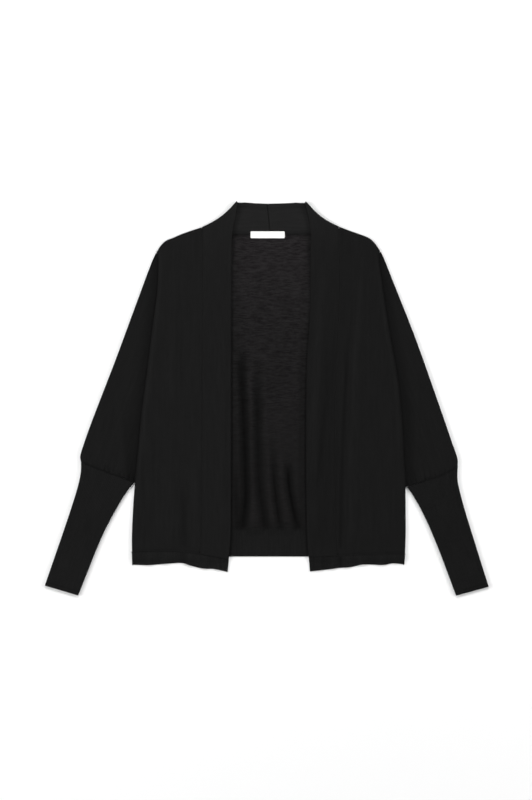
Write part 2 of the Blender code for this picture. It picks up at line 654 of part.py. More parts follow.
def cuff(s, name):
    """A long ribbed tube from the gathers to the wrist, lying flat."""
    inner, outer, joint = line(s.cuff_inner), line(s.cuff_outer), line(s.joint)

    def top(across):
        bent = joint(across) - blend(joint(0), joint(1), across)
        return blend(inner(0), outer(0), across) + bent + Vector((0, 2 * GAP * sin(pi * across)))

    at = patch(top, chord(inner(1), outer(1)), inner, outer)
    rows = []
    for down in [0.0, 0.03] + steps(9, 0.1, 1.0):
        rows.append(flat_tube(lambda across: at(across, down), [0, 0.12, 0.3, 0.5, 0.7, 0.88, 1],
                              [0, 0.3, 0.7, 1], CUFF_TOP, RIB / 2, RIB, closed=True))
    wall(name, rows, rib, ring=True)


# ---------------------------------------------------------------- label
def label():
    """A bare woven label, sewn over the middle of the neck seam."""
    width, height = LABEL_SIZE
    middle, top = LABEL_PLACE
    on_back, on_collar = JERSEY + GAP + LABEL / 2, 3.0
    rows = []
    for down in steps(5):
        z = blend(on_collar, on_back, ease(down / 0.65))
        rows.append([(middle + width * (u - 0.5), top - height * down, z, LABEL) for u in steps(6)])
    wall("label", rows, woven)


back()
back_hem()
for half, wearer in ((RIGHT, "right"), (LEFT, "left")):
    front(half, "front_" + wearer)
    front_hem(half, "hem_front_" + wearer)
    band(half, "band_" + wearer)
    sleeve(half, "sleeve_" + wearer)
    cuff(half, "cuff_" + wearer)
label()
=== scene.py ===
"""The looks of an open-front knitted cardigan, laid out flat on its back.

Sizes are in millimetres, in the plan that the pieces were cut to: +X is the wearer's left, +Y runs to
the collar, +Z is up. Each piece of cloth is a fine shell where its solid lies, and each seam a cord.
"""
from collections import namedtuple
from math import cos, pi, radians, sin

import bpy
import numpy as np
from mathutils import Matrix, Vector


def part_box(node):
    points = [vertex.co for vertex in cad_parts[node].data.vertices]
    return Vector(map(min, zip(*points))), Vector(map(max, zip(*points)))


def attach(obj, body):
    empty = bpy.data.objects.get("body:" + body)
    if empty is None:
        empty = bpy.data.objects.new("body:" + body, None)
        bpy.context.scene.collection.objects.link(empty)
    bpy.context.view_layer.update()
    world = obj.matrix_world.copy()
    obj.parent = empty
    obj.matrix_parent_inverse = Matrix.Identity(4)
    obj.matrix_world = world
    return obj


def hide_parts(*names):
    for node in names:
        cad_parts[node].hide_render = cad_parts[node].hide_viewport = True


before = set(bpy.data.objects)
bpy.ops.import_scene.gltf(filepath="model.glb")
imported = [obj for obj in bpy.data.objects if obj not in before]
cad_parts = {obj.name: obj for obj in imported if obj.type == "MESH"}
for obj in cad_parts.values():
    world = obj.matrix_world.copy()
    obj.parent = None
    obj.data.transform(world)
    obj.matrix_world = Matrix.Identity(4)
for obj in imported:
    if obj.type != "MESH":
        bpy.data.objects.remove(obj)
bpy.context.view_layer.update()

# ---------------------------------------------------------------- back
# One flat panel of fine black jersey, lying on the surface with its inside, the purl side, up. It is
# linked to the sleeves along the armholes, and the hem band draws its lower end into soft waves.
MM = 0.001
CENTRE = np.array((0.4, 1.11, 0.0))       # middle of the cardigan's outline, which is the origin
GAP = 0.35                                  # between two pieces at a seam, or one lying on another
JERSEY = 1.2                                # thickness of the knit
HEM = 1.6
ARMHOLE_SHARE = 0.8                         # of a panel's outer edge; the rest is the side seam

SHOULDER = {
    -1: [(-113.8, 300.8), (-144.4, 290.4), (-163.3, 282.6), (-176.6, 276.8), (-185.8, 267.8),
         (-191.6, 258.2)],
    1: [(127.2, 301.9), (142, 296), (160.3, 289.6), (180.6, 281.2), (191.4, 270.4), (197.8, 260.8)],
}
ARMHOLE = {
    -1: [(-191.6, 258.2), (-189.4, 240), (-191.5, 188), (-199, 130), (-209, 50),
         (-219, -27), (-225, -93), (-230.6, -145.7)],
    1: [(197.8, 260.8), (197, 240), (202.6, 200), (216.4, 111), (229, 40), (236.6, -27),
        (240.6, -100), (243.6, -152.1)],
}
SIDE_SEAM = {
    -1: [(-230.6, -145.7), (-233.6, -184.6), (-236, -240), (-235.6, -268), (-235.3, -290)],
    1: [(243.6, -152.1), (243.8, -190), (243.8, -240), (242.8, -272), (241, -289.6)],
}
NECK = {
    -1: [(-112.4, 299), (-92, 292.6), (-62, 289.2), (6.6, 288.8)],
    1: [(126, 300.2), (104, 293.4), (72, 289.4), (6.6, 288.8)],
}
NECK_STATIONS = (0.08, 0.2, 0.34, 0.5, 0.66, 0.83, 1.0)
NECK_CORNER = (2.4, 0.6)                    # from the neck line's end to the back's top edge


def box_in_plan(node):
    """A node's lowest and highest corners, in the plan's own millimetres."""
    return [np.array(corner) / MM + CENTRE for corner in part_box(node)]


hem_low, hem_high = box_in_plan("hem_back")
BACK_HEM_SEAM, BACK_HEM_END = hem_high[1], hem_low[1]

# The hem band gathers the back up off the surface between the fronts, and deep creases run down it.
# share is how much of that lift a crease takes away, and shade how much darker it is painted down in
# it, as painted shade.
Crease = namedtuple("Crease", "x_top y_top x_mid y_mid x_end y_end half_width share fade_top shade")
BACK_LIFT = 6.4
LIFT_TOP = 175.0        # y where the lift starts
LIFT_LENGTH = 190.0     # from there to its full height
LIFT_SIDE = 15.0        # the same, in from a front's free edge
LIFT_SEAM = 0.5         # the share of it that is left at the hem band's seam
LIFT_END = 15.0         # how far above the seam it is whole again, and below the seam it is gone
BACK_CREASES = [
    Crease(-46.5, 106, -36.5, -165, -42.5, -226, 12.5, 0.96, 60, -0.66),
    Crease(-17.5, 84, -13, -140, -2.5, -226, 12.5, 0.84, 90, -0.52),
    Crease(9, -50, 13.8, -150, 23.5, -226, 9.5, 0.78, 95, -0.46),
    Crease(37, -96, 39.6, -155, 53, -226, 10.5, 0.94, 42, -0.60),
    Crease(-57, -104, -54, -160, -53.5, -226, 8, 0.50, 70, -0.38),
]
# Down in a crease or beside a seam the knit is painted darker than where it lies plain, as painted
# shade, and over a crest it is painted lighter, as painted highlight. A fold's shade is that share,
# and a fold with no height is painted only.
# Its middle runs through three points from its top to its lower end; left and right are its half
# widths, fade_* the lengths of its ends, and its height is below zero for a trough.
Fold = namedtuple("Fold", "x_top y_top x_mid y_mid x_end y_end left right height fade_top fade_end shade")
SHADE_SIDE = 1.5        # how far towards +X of a crease's middle its painted shade is darkest
SHADE_END = 9.0         # length over which a crease's painted shade ends at the hem band
# The back's crests have no height: they are painted highlights only.
BACK_CRESTS = [Fold(-30, 80, -26, -80, -25, -226, 7, 7, 0, 60, 10, 0.20),
               Fold(-2, 20, 2, -60, 8, -226, 6, 7, 0, 60, 30, 0.14),
               Fold(22, -20, 21, -60, 30, -200, 6, 7, 0, 40, 40, 0.08)]
# The back is painted lightest at the neck, where it lies single on the pale surface, and darker below,
# where it is lifted: painted light and painted shade.
BACK_SHADE = ((-226, 0.59), (-120, 0.60), (-20, 0.64), (70, 0.67), (155, 0.76), (240, 0.90),
              (290, 0.95))
HALF_OPENING = 95.0     # the back shows between the fronts, and a little of it beneath them
OPENING_MIDDLE = 5.0
OPENING_SIDE = 20.0     # width over which it comes out from beneath a front
FREE_EDGE = {
    -1: [(-66.2, -279), (-63, -240), (-62, -100), (-61.6, 120), (-60.6, 256)],
    1: [(73.6, -274), (71.2, -240), (69.2, -110), (70.4, 50), (76, 150), (77, 256)],
}


def ease(part):
    """0 to 1, level at both ends."""
    part = np.clip(part, 0.0, 1.0)
    return part * part * (3.0 - 2.0 * part)


def blend(a, b, part):
    return a + (b - a) * part


def hump(off):
    """1 in the middle, easing to 0 at -1 and 1."""
    return np.cos(np.clip(off, -1, 1) * pi / 2) ** 2


def dim(distance, within, by):
    """1 farther off than within, easing down by a share towards no distance."""
    return 1 - by * ease(1 - distance / within)


def spline(knots, values):
    """A smooth curve through values at rising knots, read at any array of places."""
    knots, values = np.array(knots, float), np.array(values, float)
    last = len(knots) - 1
    before, after = np.clip(np.arange(last + 1) - 1, 0, last), np.clip(np.arange(last + 1) + 1, 0, last)
    flat = values.reshape(last + 1, -1)
    slopes = (flat[after] - flat[before]) / (knots[after] - knots[before])[:, None]

    def at(place):
        place = np.asarray(place, float)
        i = np.clip(np.searchsorted(knots, place, side="right") - 1, 0, last - 1)
        span = knots[i + 1] - knots[i]
        u, span = ((place - knots[i]) / span)[..., None], span[..., None]
        curve = (flat[i] * (1 + 2 * u) * (1 - u) ** 2 + slopes[i] * (span * u * (1 - u) ** 2)
                 + flat[i + 1] * (u * u * (3 - 2 * u)) + slopes[i + 1] * (span * u * u * (u - 1)))
        return curve.reshape(place.shape + values.shape[1:])
    return at


def lengths(points, axis=0):
    """How far along it each point of a line lies."""
    steps = np.linalg.norm(np.diff(points, axis=axis), axis=-1)
    start = np.zeros_like(np.take(steps, [0], axis=axis))
    return np.concatenate((start, np.cumsum(steps, axis=axis)), axis=axis)


def line(points, shift=(0.0, 0.0)):
    """A smooth plan line through the points, read at shares of 0 to 1 along it."""
    points = np.array(points, float) + shift
    knots = lengths(points)
    through = spline(knots, points)
    return lambda part: through(np.asarray(part) * knots[-1])


def join(first, second, share):
    """Two lines end to end, the first taking the given share of 0 to 1."""
    def at(part):
        part = np.asarray(part, float)[..., None]
        return np.where(part < share, first(np.clip(part[..., 0] / share, 0, 1)),
                        second(np.clip((part[..., 0] - share) / (1 - share), 0, 1)))
    return at


def chord(a, b):
    return lambda part: blend(np.array(a), np.array(b), np.asarray(part)[..., None])


def patch(top, bottom, near, far):
    """The plan between four edges; near and far run from top to bottom, across and down are 0 to 1."""
    def at(across, down):
        u, v = across[..., None], down[..., None]
        edges = blend(top(across), bottom(across), v) + blend(near(down), far(down), u)
        ends = [np.broadcast_to(edge(np.array(place)), edges.shape)
                for edge in (near, far) for place in (0.0, 1.0)]
        return edges - blend(blend(ends[0], ends[2], u), blend(ends[1], ends[3], u), v)
    return at


def lattice(across, down):
    """Every pair of the two lists, as two arrays of rows by columns."""
    return np.meshgrid(np.array(across, float), np.array(down, float))


def pairs(x, y):
    """Points of the plan, or of the flat knit, from their two coordinates."""
    return np.stack(np.broadcast_arrays(x, y), axis=-1)


def xy(plan):
    return plan[..., 0], plan[..., 1]


def spaced(*stops):
    """Shares in even steps: stops are a start, then pairs of a count and the place that it reaches."""
    places = [stops[0]]
    for count, end in zip(stops[1::2], stops[2::2]):
        places += list(np.linspace(places[-1], end, count + 1)[1:])
    return places


def x_at(points, y):
    """x at the heights y of a plan line that only rises or only falls."""
    rising = sorted(points, key=lambda point: point[1])
    return spline([point[1] for point in rising], [point[0] for point in rising])(y)


def fold_middle(fold, y):
    return spline((fold.y_end, fold.y_mid, fold.y_top), (fold.x_end, fold.x_mid, fold.x_top))(y)


def in_crease(crease, x, y, wider=1.0):
    """1 down in the middle of a crease of the back, easing to 0 at its sides and its top."""
    off = (x - fold_middle(crease, np.maximum(y, crease.y_end))) / (wider * crease.half_width)
    return ease((crease.y_top - y) / crease.fade_top) * hump(off)


def from_free_edges(x, y):
    """How far in between the two fronts' free edges plan points lie, from each of them."""
    return x - x_at(FREE_EDGE[-1], y), x_at(FREE_EDGE[1], y) - x


def back_lift(x, y):
    """How far the back and its hem band are raised off the surface at plan points."""
    within = np.minimum(*from_free_edges(x, y)) - 1.0
    lift = BACK_LIFT * ease((LIFT_TOP - y) / LIFT_LENGTH) * ease(within / LIFT_SIDE)
    above, below = ease((y - BACK_HEM_SEAM) / LIFT_END), ease((BACK_HEM_SEAM - y) / LIFT_END)
    lift *= blend(LIFT_SEAM, 1.0, above) * (1 - below)
    for crease in BACK_CREASES:
        lift *= 1 - crease.share * in_crease(crease, x, y)
    return lift


def profile(fold, x, y):
    """1 on a fold's middle, easing to 0 at its feet and its ends."""
    middle = fold_middle(fold, y)
    ends = ease((fold.y_top - y) / fold.fade_top) * ease((y - fold.y_end) / fold.fade_end)
    return ends * hump((x - middle) / np.where(x < middle, fold.left, fold.right))


def fold_shade(folds, x, y):
    """The painted shade and painted highlight of the folds, 1 where the cloth lies plain."""
    return np.prod([1 + fold.shade * profile(fold, x, y) for fold in folds], axis=0)


def plain_shade(y):
    return spline(*zip(*BACK_SHADE))(y)


def back_shade(x, y):
    """The painted light and shade of the back's inside at plan points, 1 where it is lightest."""
    total = plain_shade(y)
    # Painted shadow beside each front's free edge, a darker line along the neck seam, painted shade down the
    # creases and painted highlights along the crests.
    from_right, from_left = from_free_edges(x, y)
    total *= dim(from_right, within=26.0, by=0.20) * dim(from_right, within=5.0, by=0.30)
    total *= dim(from_left, within=22.0, by=0.12) * dim(from_left, within=5.0, by=0.30)
    total *= dim(back_top_y(x) - y, within=5.0, by=0.45)
    below = ease((BACK_HEM_SEAM + 2.0 - y) / SHADE_END)
    for crease in BACK_CREASES:
        total *= 1 + crease.shade * in_crease(crease, x - SHADE_SIDE, y, 1.2) * (1 - below)
    return total * fold_shade(BACK_CRESTS, x, y)


def between_fronts(x):
    """1 where the back shows between the fronts, easing to 0 beneath them."""
    in_by = HALF_OPENING - abs(x - OPENING_MIDDLE)
    return ease(in_by / OPENING_SIDE)


# Knit never lies quite level: shallow swells of a few lengths, each (across, down, turn, height).
UNEVEN = ((71, 190, 0.4, 0.10), (38, 120, 2.1, 0.07), (23, 64, 4.4, 0.045),
          (14.5, 38, 1.3, 0.03))
STANDS_OFF = 0.25       # how far the back stands off the surface where nothing lies on it


def unevenness(x, y):
    return sum(height * np.sin(2 * pi * x / across + turn + 1.3 * np.sin(2 * pi * y / down + 2 * turn))
               * np.cos(2 * pi * y / down - turn) for across, down, turn, height in UNEVEN)


def put(name, data):
    """A new object in the scene."""
    placed = bpy.data.objects.new(name, data)
    bpy.context.scene.collection.objects.link(placed)
    return placed


def shell(name, middle, thickness, knit_plan, material, shade=1.0, ring=False, under=None):
    """A closed wall of cloth with rounded edges, round a lattice of points on its middle.

    knit_plan is the place of each point in the flat knit, across and along its wales, for the
    stitches. A ring is closed across, like a cuff. shade is the painted shade and highlight at each
    point, and under is the material and the painted shade of the lower face, where they aren't the
    upper one's.
    """
    middle = np.array(middle, float) - CENTRE
    thickness = np.broadcast_to(thickness, middle.shape[:2])
    shade = np.broadcast_to(shade, middle.shape[:2])

    def normals():
        down = np.gradient(middle, axis=0)
        if ring:
            across = np.roll(middle, -1, axis=1) - np.roll(middle, 1, axis=1)
        else:
            across = np.gradient(middle, axis=1)
        facing = np.cross(down, across)
        return facing / np.linalg.norm(facing, axis=2, keepdims=True)

    facing = normals()
    if facing[:3, :4, 2].mean() < 0:
        middle, thickness, shade = middle[:, ::-1], thickness[:, ::-1], shade[:, ::-1]
        knit_plan = knit_plan[:, ::-1]
        facing = normals()
    rows, columns = middle.shape[:2]
    number = np.arange(rows * columns).reshape(rows, columns)
    point, half = middle.reshape(-1, 3), thickness.reshape(-1, 1) / 2
    facing, plan, shade = facing.reshape(-1, 3), knit_plan.reshape(-1, 2), shade.ravel()
    outer, inner = point + facing * half, point - facing * half

    def quads(grid):
        around = np.hstack((grid, grid[:, :1])) if ring else grid
        return np.stack((around[:-1, :-1], around[1:, :-1], around[1:, 1:], around[:-1, 1:]),
                        axis=-1).reshape(-1, 4)

    faces = [quads(number), quads(number + rows * columns)[:, ::-1]]
    inwards = np.roll(number, -1, axis=0)
    inwards[-1] = number[-2]
    if ring:
        borders = [(number[0], inwards[0], True), (number[-1], inwards[-1], False)]
    else:
        loop = np.concatenate((number[0], number[1:, -1], number[-1, -2::-1], number[-2:0:-1, 0]))
        clipped = np.pad(number[1:-1, 1:-1], 1, mode="edge")
        within = np.concatenate((clipped[0], clipped[1:, -1], clipped[-1, -2::-1], clipped[-2:0:-1, 0]))
        borders = [(loop, within, True)]

    # Each layer of points: their places, their places in the knit, their painted shade, and 1 on the right
    # side.
    below = np.full(len(shade), under[1]) if under else shade
    layers = [(outer, plan, shade, np.ones(len(plan))), (inner, plan, below, np.zeros(len(plan)))]
    count = 2 * rows * columns
    for loop, within, forward in borders:
        along = point[np.roll(loop, -1)] - point[np.roll(loop, 1)]
        out = np.cross(along, facing[loop])
        out *= np.sign(np.sum(out * (point[loop] - point[within]), axis=1, keepdims=True))
        out /= np.linalg.norm(out, axis=1, keepdims=True)
        rings = [loop]
        for turn in (45, 0, -45):
            inset, rise = half[loop] * (1 - cos(radians(turn))), half[loop] * sin(radians(turn))
            rim = point[loop] - out * inset + facing[loop] * rise
            layers.append((rim, plan[loop], shade[loop], np.zeros(len(loop))))
            rings.append(np.arange(count, count + len(loop)))
            count += len(loop)
        rings.append(loop + rows * columns)
        outer[loop] -= out * half[loop]
        inner[loop] -= out * half[loop]
        for a, b in zip(rings, rings[1:]):
            band = np.stack((a, np.roll(a, -1), np.roll(b, -1), b), axis=1)
            faces.append(band if forward else band[:, ::-1])

    places, plans, shades, right_side = (np.concatenate(kind) for kind in zip(*layers))
    mesh = bpy.data.meshes.new(name)
    mesh.from_pydata(places * MM, [], np.concatenate(faces).tolist())
    knit = mesh.attributes.new("knit", "FLOAT_VECTOR", "POINT")
    knit.data.foreach_set("vector", np.column_stack((plans * MM, np.zeros(len(plans)))).ravel())
    for attribute, values in (("right_side", right_side), ("shade", shades)):
        mesh.attributes.new(attribute, "FLOAT", "POINT").data.foreach_set("value", values)
    mesh.shade_smooth()
    mesh.materials.append(material)
    if under:
        mesh.materials.append(under[0])
        lower_face = np.zeros(len(mesh.polygons), int)
        lower_face[len(faces[0]):len(faces[0]) + len(faces[1])] = 1
        mesh.polygons.foreach_set("material_index", lower_face)
    return put(name, mesh)


def linear(colour):
    """An sRGB hex colour as linear red, green, blue and alpha."""
    parts = [int(colour[i:i + 2], 16) / 255 for i in (1, 3, 5)]
    return [c / 12.92 if c <= 0.04045 else ((c + 0.055) / 1.055) ** 2.4 for c in parts] + [1.0]


def add(tree, kind, links=None, **settings):
    """Adds a node: settings are its own properties, links its inputs, each a value or a socket."""
    node = tree.nodes.new(kind)
    for name, value in settings.items():
        setattr(node, name, value)
    for key, value in (links or {}).items():
        if isinstance(value, bpy.types.NodeSocket):
            tree.links.new(value, node.inputs[key])
        else:
            node.inputs[key].default_value = value
    return node


def new_material(name):
    material = bpy.data.materials.new(name)
    material.use_nodes = True
    return material, material.node_tree


def finish(tree, colour, relief, strength, depth, roughness, specular):
    """Wires a material's colour and its relief, of a depth in mm, to its shader, with its gloss."""
    shader = tree.nodes["Principled BSDF"]
    tree.links.new(colour, shader.inputs["Base Color"])
    bump = add(tree, "ShaderNodeBump", {"Strength": strength, "Distance": depth * MM, "Height": relief})
    tree.links.new(bump.outputs[0], shader.inputs["Normal"])
    shader.inputs["Roughness"].default_value = roughness
    shader.inputs["Specular IOR Level"].default_value = specular
    return shader


# A 14-gauge jersey has wales about 1.4 mm apart and courses about 1.1 mm apart. That is finer than
# one point of the picture, so they are drawn 1.5 times as coarse.
WALE, COURSE = 2.1, 1.65
STITCH_RELIEF = 0.22
# How high the yarn lies in one stitch, each row a result, an operation and its terms. The face side
# shows two legs that lean into a V, the purl side arcs that lie across.
FACE_STITCH = (("wale", "MULTIPLY", "across", 1 / (WALE * MM)),
               ("course", "MULTIPLY", "along", 1 / (COURSE * MM)),
               ("place", "FRACT", "wale"), ("side", "SUBTRACT", "place", 0.5), ("leg", "ABSOLUTE", "side"),
               ("slant", "MULTIPLY_ADD", "leg", -0.9, "course"), ("turn", "MULTIPLY", "slant", 2 * pi),
               ("wave", "COSINE", "turn"), ("link", "MULTIPLY_ADD", "wave", 0.3, 0.7),
               ("bow", "MULTIPLY", "leg", 2 * pi), ("round", "SINE", "bow"),
               ("height", "MULTIPLY", "link", "round"))
PURL_STITCH = (("wale", "MULTIPLY", "across", 2 * pi / (WALE * MM)),
               ("course", "MULTIPLY", "along", 2 * pi / (COURSE * MM)),
               ("arc", "SINE", "wale"), ("bent", "MULTIPLY_ADD", "arc", 0.9, "course"),
               ("wave", "COSINE", "bent"), ("height", "MULTIPLY_ADD", "wave", 0.5, 0.5))


def knit_material(name, dark, light, stitch, streaks, streaked=0.55, rows=0.0, calm=(0.0, 1.0), closed=None):
    """Matt black knit: two close shades, by the stitch, by streaks in the yarn and by loose fibre.

    streaks is the size of a streak across and along the wales, in mm, and streaked how strong they are.
    With rows, in mm, each row of loops is streaked for itself, as it is knitted from an uneven yarn.
    Below calm's place along the wales, in mm, only calm's share of the streaks is left. The raised yarn
    of a stitch is drawn lighter than its hollows, a painted shade. The shade attribute scales the
    colour, as painted shade and painted highlight, and closed tints it where that painted shade is deep.
    """
    material, tree = new_material(name)
    place = add(tree, "ShaderNodeAttribute", attribute_name="knit").outputs["Vector"]
    split = add(tree, "ShaderNodeSeparateXYZ", {0: place})
    values = {"across": split.outputs[0], "along": split.outputs[1]}
    for result, operation, *terms in stitch:
        sockets = {i: values.get(term, term) for i, term in enumerate(terms)}
        values[result] = add(tree, "ShaderNodeMath", sockets, operation=operation).outputs[0]

    yarn_place = place
    if rows:
        row = add(tree, "ShaderNodeMath", {0: split.outputs[1], 1: rows * MM}, operation="DIVIDE").outputs[0]
        row = add(tree, "ShaderNodeMath", {0: row}, operation="FLOOR").outputs[0]
        row = add(tree, "ShaderNodeMath", {0: row, 1: 7.3}, operation="MULTIPLY").outputs[0]
        yarn_place = add(tree, "ShaderNodeCombineXYZ", {0: split.outputs[0], 2: row}).outputs[0]
    stretch = (1 / (streaks[0] * MM), 1 / (streaks[1] * MM), 1.0)
    streak_place = add(tree, "ShaderNodeMapping", {0: yarn_place, "Scale": stretch}).outputs[0]
    streak = add(tree, "ShaderNodeTexNoise", {"Vector": streak_place, "Scale": 1.0, "Detail": 2.0,
                                              "Roughness": 0.6}).outputs["Fac"]
    if rows:
        # Patches of the cloth, about 22 by 11 mm, are knitted a little looser than others.
        patches = (1 / (22 * MM), 1 / (11 * MM), 1.0)
        loose = add(tree, "ShaderNodeMapping", {0: place, "Scale": patches}).outputs[0]
        loose = add(tree, "ShaderNodeTexNoise", {"Vector": loose, "Scale": 1.0, "Detail": 1.0}).outputs[0]
        loose = add(tree, "ShaderNodeMath", {0: loose, 1: 0.16, 2: -0.08},
                    operation="MULTIPLY_ADD").outputs[0]
        streak = add(tree, "ShaderNodeMath", {0: streak, 1: loose}).outputs[0]
    streak = add(tree, "ShaderNodeMath", {0: streak, 1: 0.5}, operation="SUBTRACT").outputs[0]
    left = add(tree, "ShaderNodeMapRange", {"Value": split.outputs[1], "From Min": (calm[0] - 60) * MM,
                                            "From Max": (calm[0] + 60) * MM, "To Min": calm[1]})
    streak = add(tree, "ShaderNodeMath", {0: streak, 1: left.outputs[0]}, operation="MULTIPLY").outputs[0]
    # Loose fibre stands 0.5 to 1 mm clear of the yarn and greys it unevenly.
    solid = add(tree, "ShaderNodeTexCoord").outputs["Object"]
    fibre = add(tree, "ShaderNodeTexNoise", {"Vector": solid, "Scale": 900.0, "Detail": 4.0,
                                             "Roughness": 0.7}).outputs["Fac"]
    # The raised yarn of each stitch is drawn lighter than its hollows, a painted shade.
    shade = 0.28
    for part, share in ((streak, streaked), (fibre, 0.2), (values["height"], 0.3)):
        summed = {0: part, 1: share, 2: shade}
        shade = add(tree, "ShaderNodeMath", summed, operation="MULTIPLY_ADD").outputs[0]
    ramp = add(tree, "ShaderNodeMapRange", {"Value": shade, "From Min": 0.25, "From Max": 0.75})
    colour = add(tree, "ShaderNodeMix", {0: ramp.outputs[0], 6: linear(dark), 7: linear(light)},
                 data_type="RGBA").outputs[2]
    # The shade attribute is painted shade and painted highlight, and it scales the colour.
    painted_shade = add(tree, "ShaderNodeAttribute", attribute_name="shade").outputs["Fac"]
    if closed:
        tint = add(tree, "ShaderNodeMapRange", {"Value": painted_shade, "From Min": 0.5, "From Max": 0.95})
        tint = add(tree, "ShaderNodeMix", {0: tint.outputs[0], 6: closed, 7: (1.0, 1.0, 1.0, 1.0)},
                   data_type="RGBA").outputs[2]
        colour = add(tree, "ShaderNodeVectorMath", {0: colour, 1: tint}, operation="MULTIPLY").outputs[0]
    shaded = add(tree, "ShaderNodeVectorMath", {0: colour, "Scale": painted_shade}, operation="SCALE")
    raised = add(tree, "ShaderNodeMath", {0: fibre, 1: 0.35, 2: values["height"]}, operation="MULTIPLY_ADD")
    shader = finish(tree, shaded.outputs[0], raised.outputs[0], 0.6, STITCH_RELIEF, 0.9, 0.03)
    shader.inputs["Sheen Weight"].default_value = 0.02
    shader.inputs["Sheen Roughness"].default_value = 0.6
    return material


# The inside of the back: rows of purl loops, streaked grey by an uneven yarn, and calmer lower down.
# Where its painted shade is deep it is tinted a little green.
purl = knit_material("black viscose jersey, purl side", "#110f10", "#282627", PURL_STITCH, (15.0, 1.0), 1.2,
                     1.8, (-30.0, 0.4), (0.975, 1.05, 1.0, 1.0))
# The right side of the same jersey, smoother and darker, with faint long streaks.
jersey = knit_material("black viscose jersey, face side", "#101010", "#1a1a1a", FACE_STITCH, (5.0, 60.0),
                       0.35)

side_x = {sign: x_at(points, BACK_HEM_SEAM) for sign, points in SIDE_SEAM.items()}
back_edge, top_row = {}, []
for sign in (-1, 1):
    inwards = (-sign * GAP, 0.0)
    above_hem = [point for point in SIDE_SEAM[sign] if point[1] > BACK_HEM_SEAM]
    above_hem += [(side_x[sign], BACK_HEM_SEAM + GAP)]
    back_edge[sign] = join(line(ARMHOLE[sign], inwards), line(above_hem, inwards), ARMHOLE_SHARE)
    corner = np.array(NECK[sign][0]) + (sign * NECK_CORNER[0], NECK_CORNER[1])
    half_edge = [*np.array(SHOULDER[sign][-2:0:-1]), corner, *line(NECK[sign])(np.array(NECK_STATIONS))]
    half_edge = [back_edge[sign](0.0)] + [p - (0, GAP) for p in half_edge]
    top_row += half_edge if sign < 0 else half_edge[-2::-1]
back_top_y = spline([p[0] for p in top_row], [p[1] for p in top_row])


def back_top(across):
    x = blend(back_edge[-1](0.0)[0], back_edge[1](0.0)[0], across)
    return pairs(x, back_top_y(x))


back_bottom = chord(back_edge[-1](1.0), back_edge[1](1.0))
across, down = lattice(spaced(0, 12, 0.34, 110, 0.66, 12, 1), spaced(0, 110, 0.92, 26, 1))
plan = patch(back_top, back_bottom, back_edge[-1], back_edge[1])(across, down)
x, y = xy(plan)
height = JERSEY / 2 + back_lift(x, y)
height += between_fronts(x) * ease((y - BACK_HEM_SEAM) / 12) * (STANDS_OFF + unevenness(x, y))
# Its lower face, the right side, is given an even painted shade of 0.95.
back_panel = shell("back_panel", np.dstack((x, y, height)), JERSEY, plan, purl, back_shade(x, y),
                   under=(jersey, 0.95))
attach(back_panel, "root")
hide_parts("back")

# ---------------------------------------------------------------- back hem band
# A plain band of fine rib, linked to the back's lower edge and lying flat on the surface. It is a
# little shorter than the back is wide, which is what draws the back into waves.
RIB_PITCH = 2.8         # one rib; the real one is about 1.4 mm, which the picture can't show
RIB_DEPTH = 0.35
RIB_COLUMN = 0.56       # from one column of points to the next, five to a rib
HEM_SWELL = 0.35        # how far the band swells between its edges, where nothing lies on it


def geometry_tree(name, inputs, output):
    """A Geometry Nodes tree, its named inputs, and the sockets that give them inside it."""
    tree = bpy.data.node_groups.new(name, "GeometryNodeTree")
    sockets = {label: tree.interface.new_socket(name=label, in_out="INPUT", socket_type="NodeSocket" + kind)
               for label, kind in inputs}
    tree.interface.new_socket(name=output, in_out="OUTPUT", socket_type="NodeSocketGeometry")
    return tree, sockets, add(tree, "NodeGroupInput").outputs


def worked(piece, tree, inputs, values):
    """The piece as its tree makes it, turned into a plain mesh at once."""
    modifier = piece.modifiers.new(tree.name, "NODES")
    modifier.node_group = tree
    for name, value in values.items():
        modifier[inputs[name].identifier] = value
    seen = piece.evaluated_get(bpy.context.evaluated_depsgraph_get())
    made = bpy.data.meshes.new_from_object(seen)
    piece.modifiers.remove(modifier)
    piece.data, plain = made, piece.data
    bpy.data.meshes.remove(plain)
    made.name = piece.name
    return piece


# Ribs are grooves pressed into the right side of a wall, as far apart across the wales as the pitch.
ribbing, rib_inputs, given = geometry_tree("ribs", (
    ("Wall", "Geometry"), ("Pitch", "Float"), ("Depth", "Float"), ("Knit", "Material")), "Ribbed")
place = add(ribbing, "GeometryNodeInputNamedAttribute", {"Name": "knit"}, data_type="FLOAT_VECTOR").outputs[0]
right_side = add(ribbing, "GeometryNodeInputNamedAttribute", {"Name": "right_side"},
                 data_type="FLOAT").outputs[0]
pressed = add(ribbing, "ShaderNodeSeparateXYZ", {0: place}).outputs[0]
for operation, *terms in (
        ("DIVIDE", given["Pitch"]), ("MULTIPLY", 2 * pi), ("COSINE",), ("MULTIPLY_ADD", 0.5, -0.5),
        ("MULTIPLY", given["Depth"]), ("MULTIPLY", right_side)):
    sockets = dict(enumerate((pressed, *terms)))
    pressed = add(ribbing, "ShaderNodeMath", sockets, operation=operation).outputs[0]
outwards = add(ribbing, "GeometryNodeInputNormal").outputs[0]
moved = add(ribbing, "ShaderNodeVectorMath", {0: outwards, "Scale": pressed}, operation="SCALE").outputs[0]
grooved = add(ribbing, "GeometryNodeSetPosition", {"Geometry": given["Wall"], "Offset": moved})
real = add(ribbing, "GeometryNodeRealizeInstances", {0: grooved.outputs[0]})
coloured = add(ribbing, "GeometryNodeSetMaterial", {0: real.outputs[0], "Material": given["Knit"]})
add(ribbing, "NodeGroupOutput", {0: coloured.outputs[0]})

# The same yarn in fine ribs, whose crests and grooves lie a little farther apart in shade.
rib = knit_material("black viscose rib", "#0f0f0f", "#1b1b1b", FACE_STITCH, (2.8, 40.0), 0.4)


def ribbed(wall, pitch):
    return worked(wall, ribbing, rib_inputs, {"Pitch": pitch * MM, "Depth": RIB_DEPTH * MM, "Knit": rib})


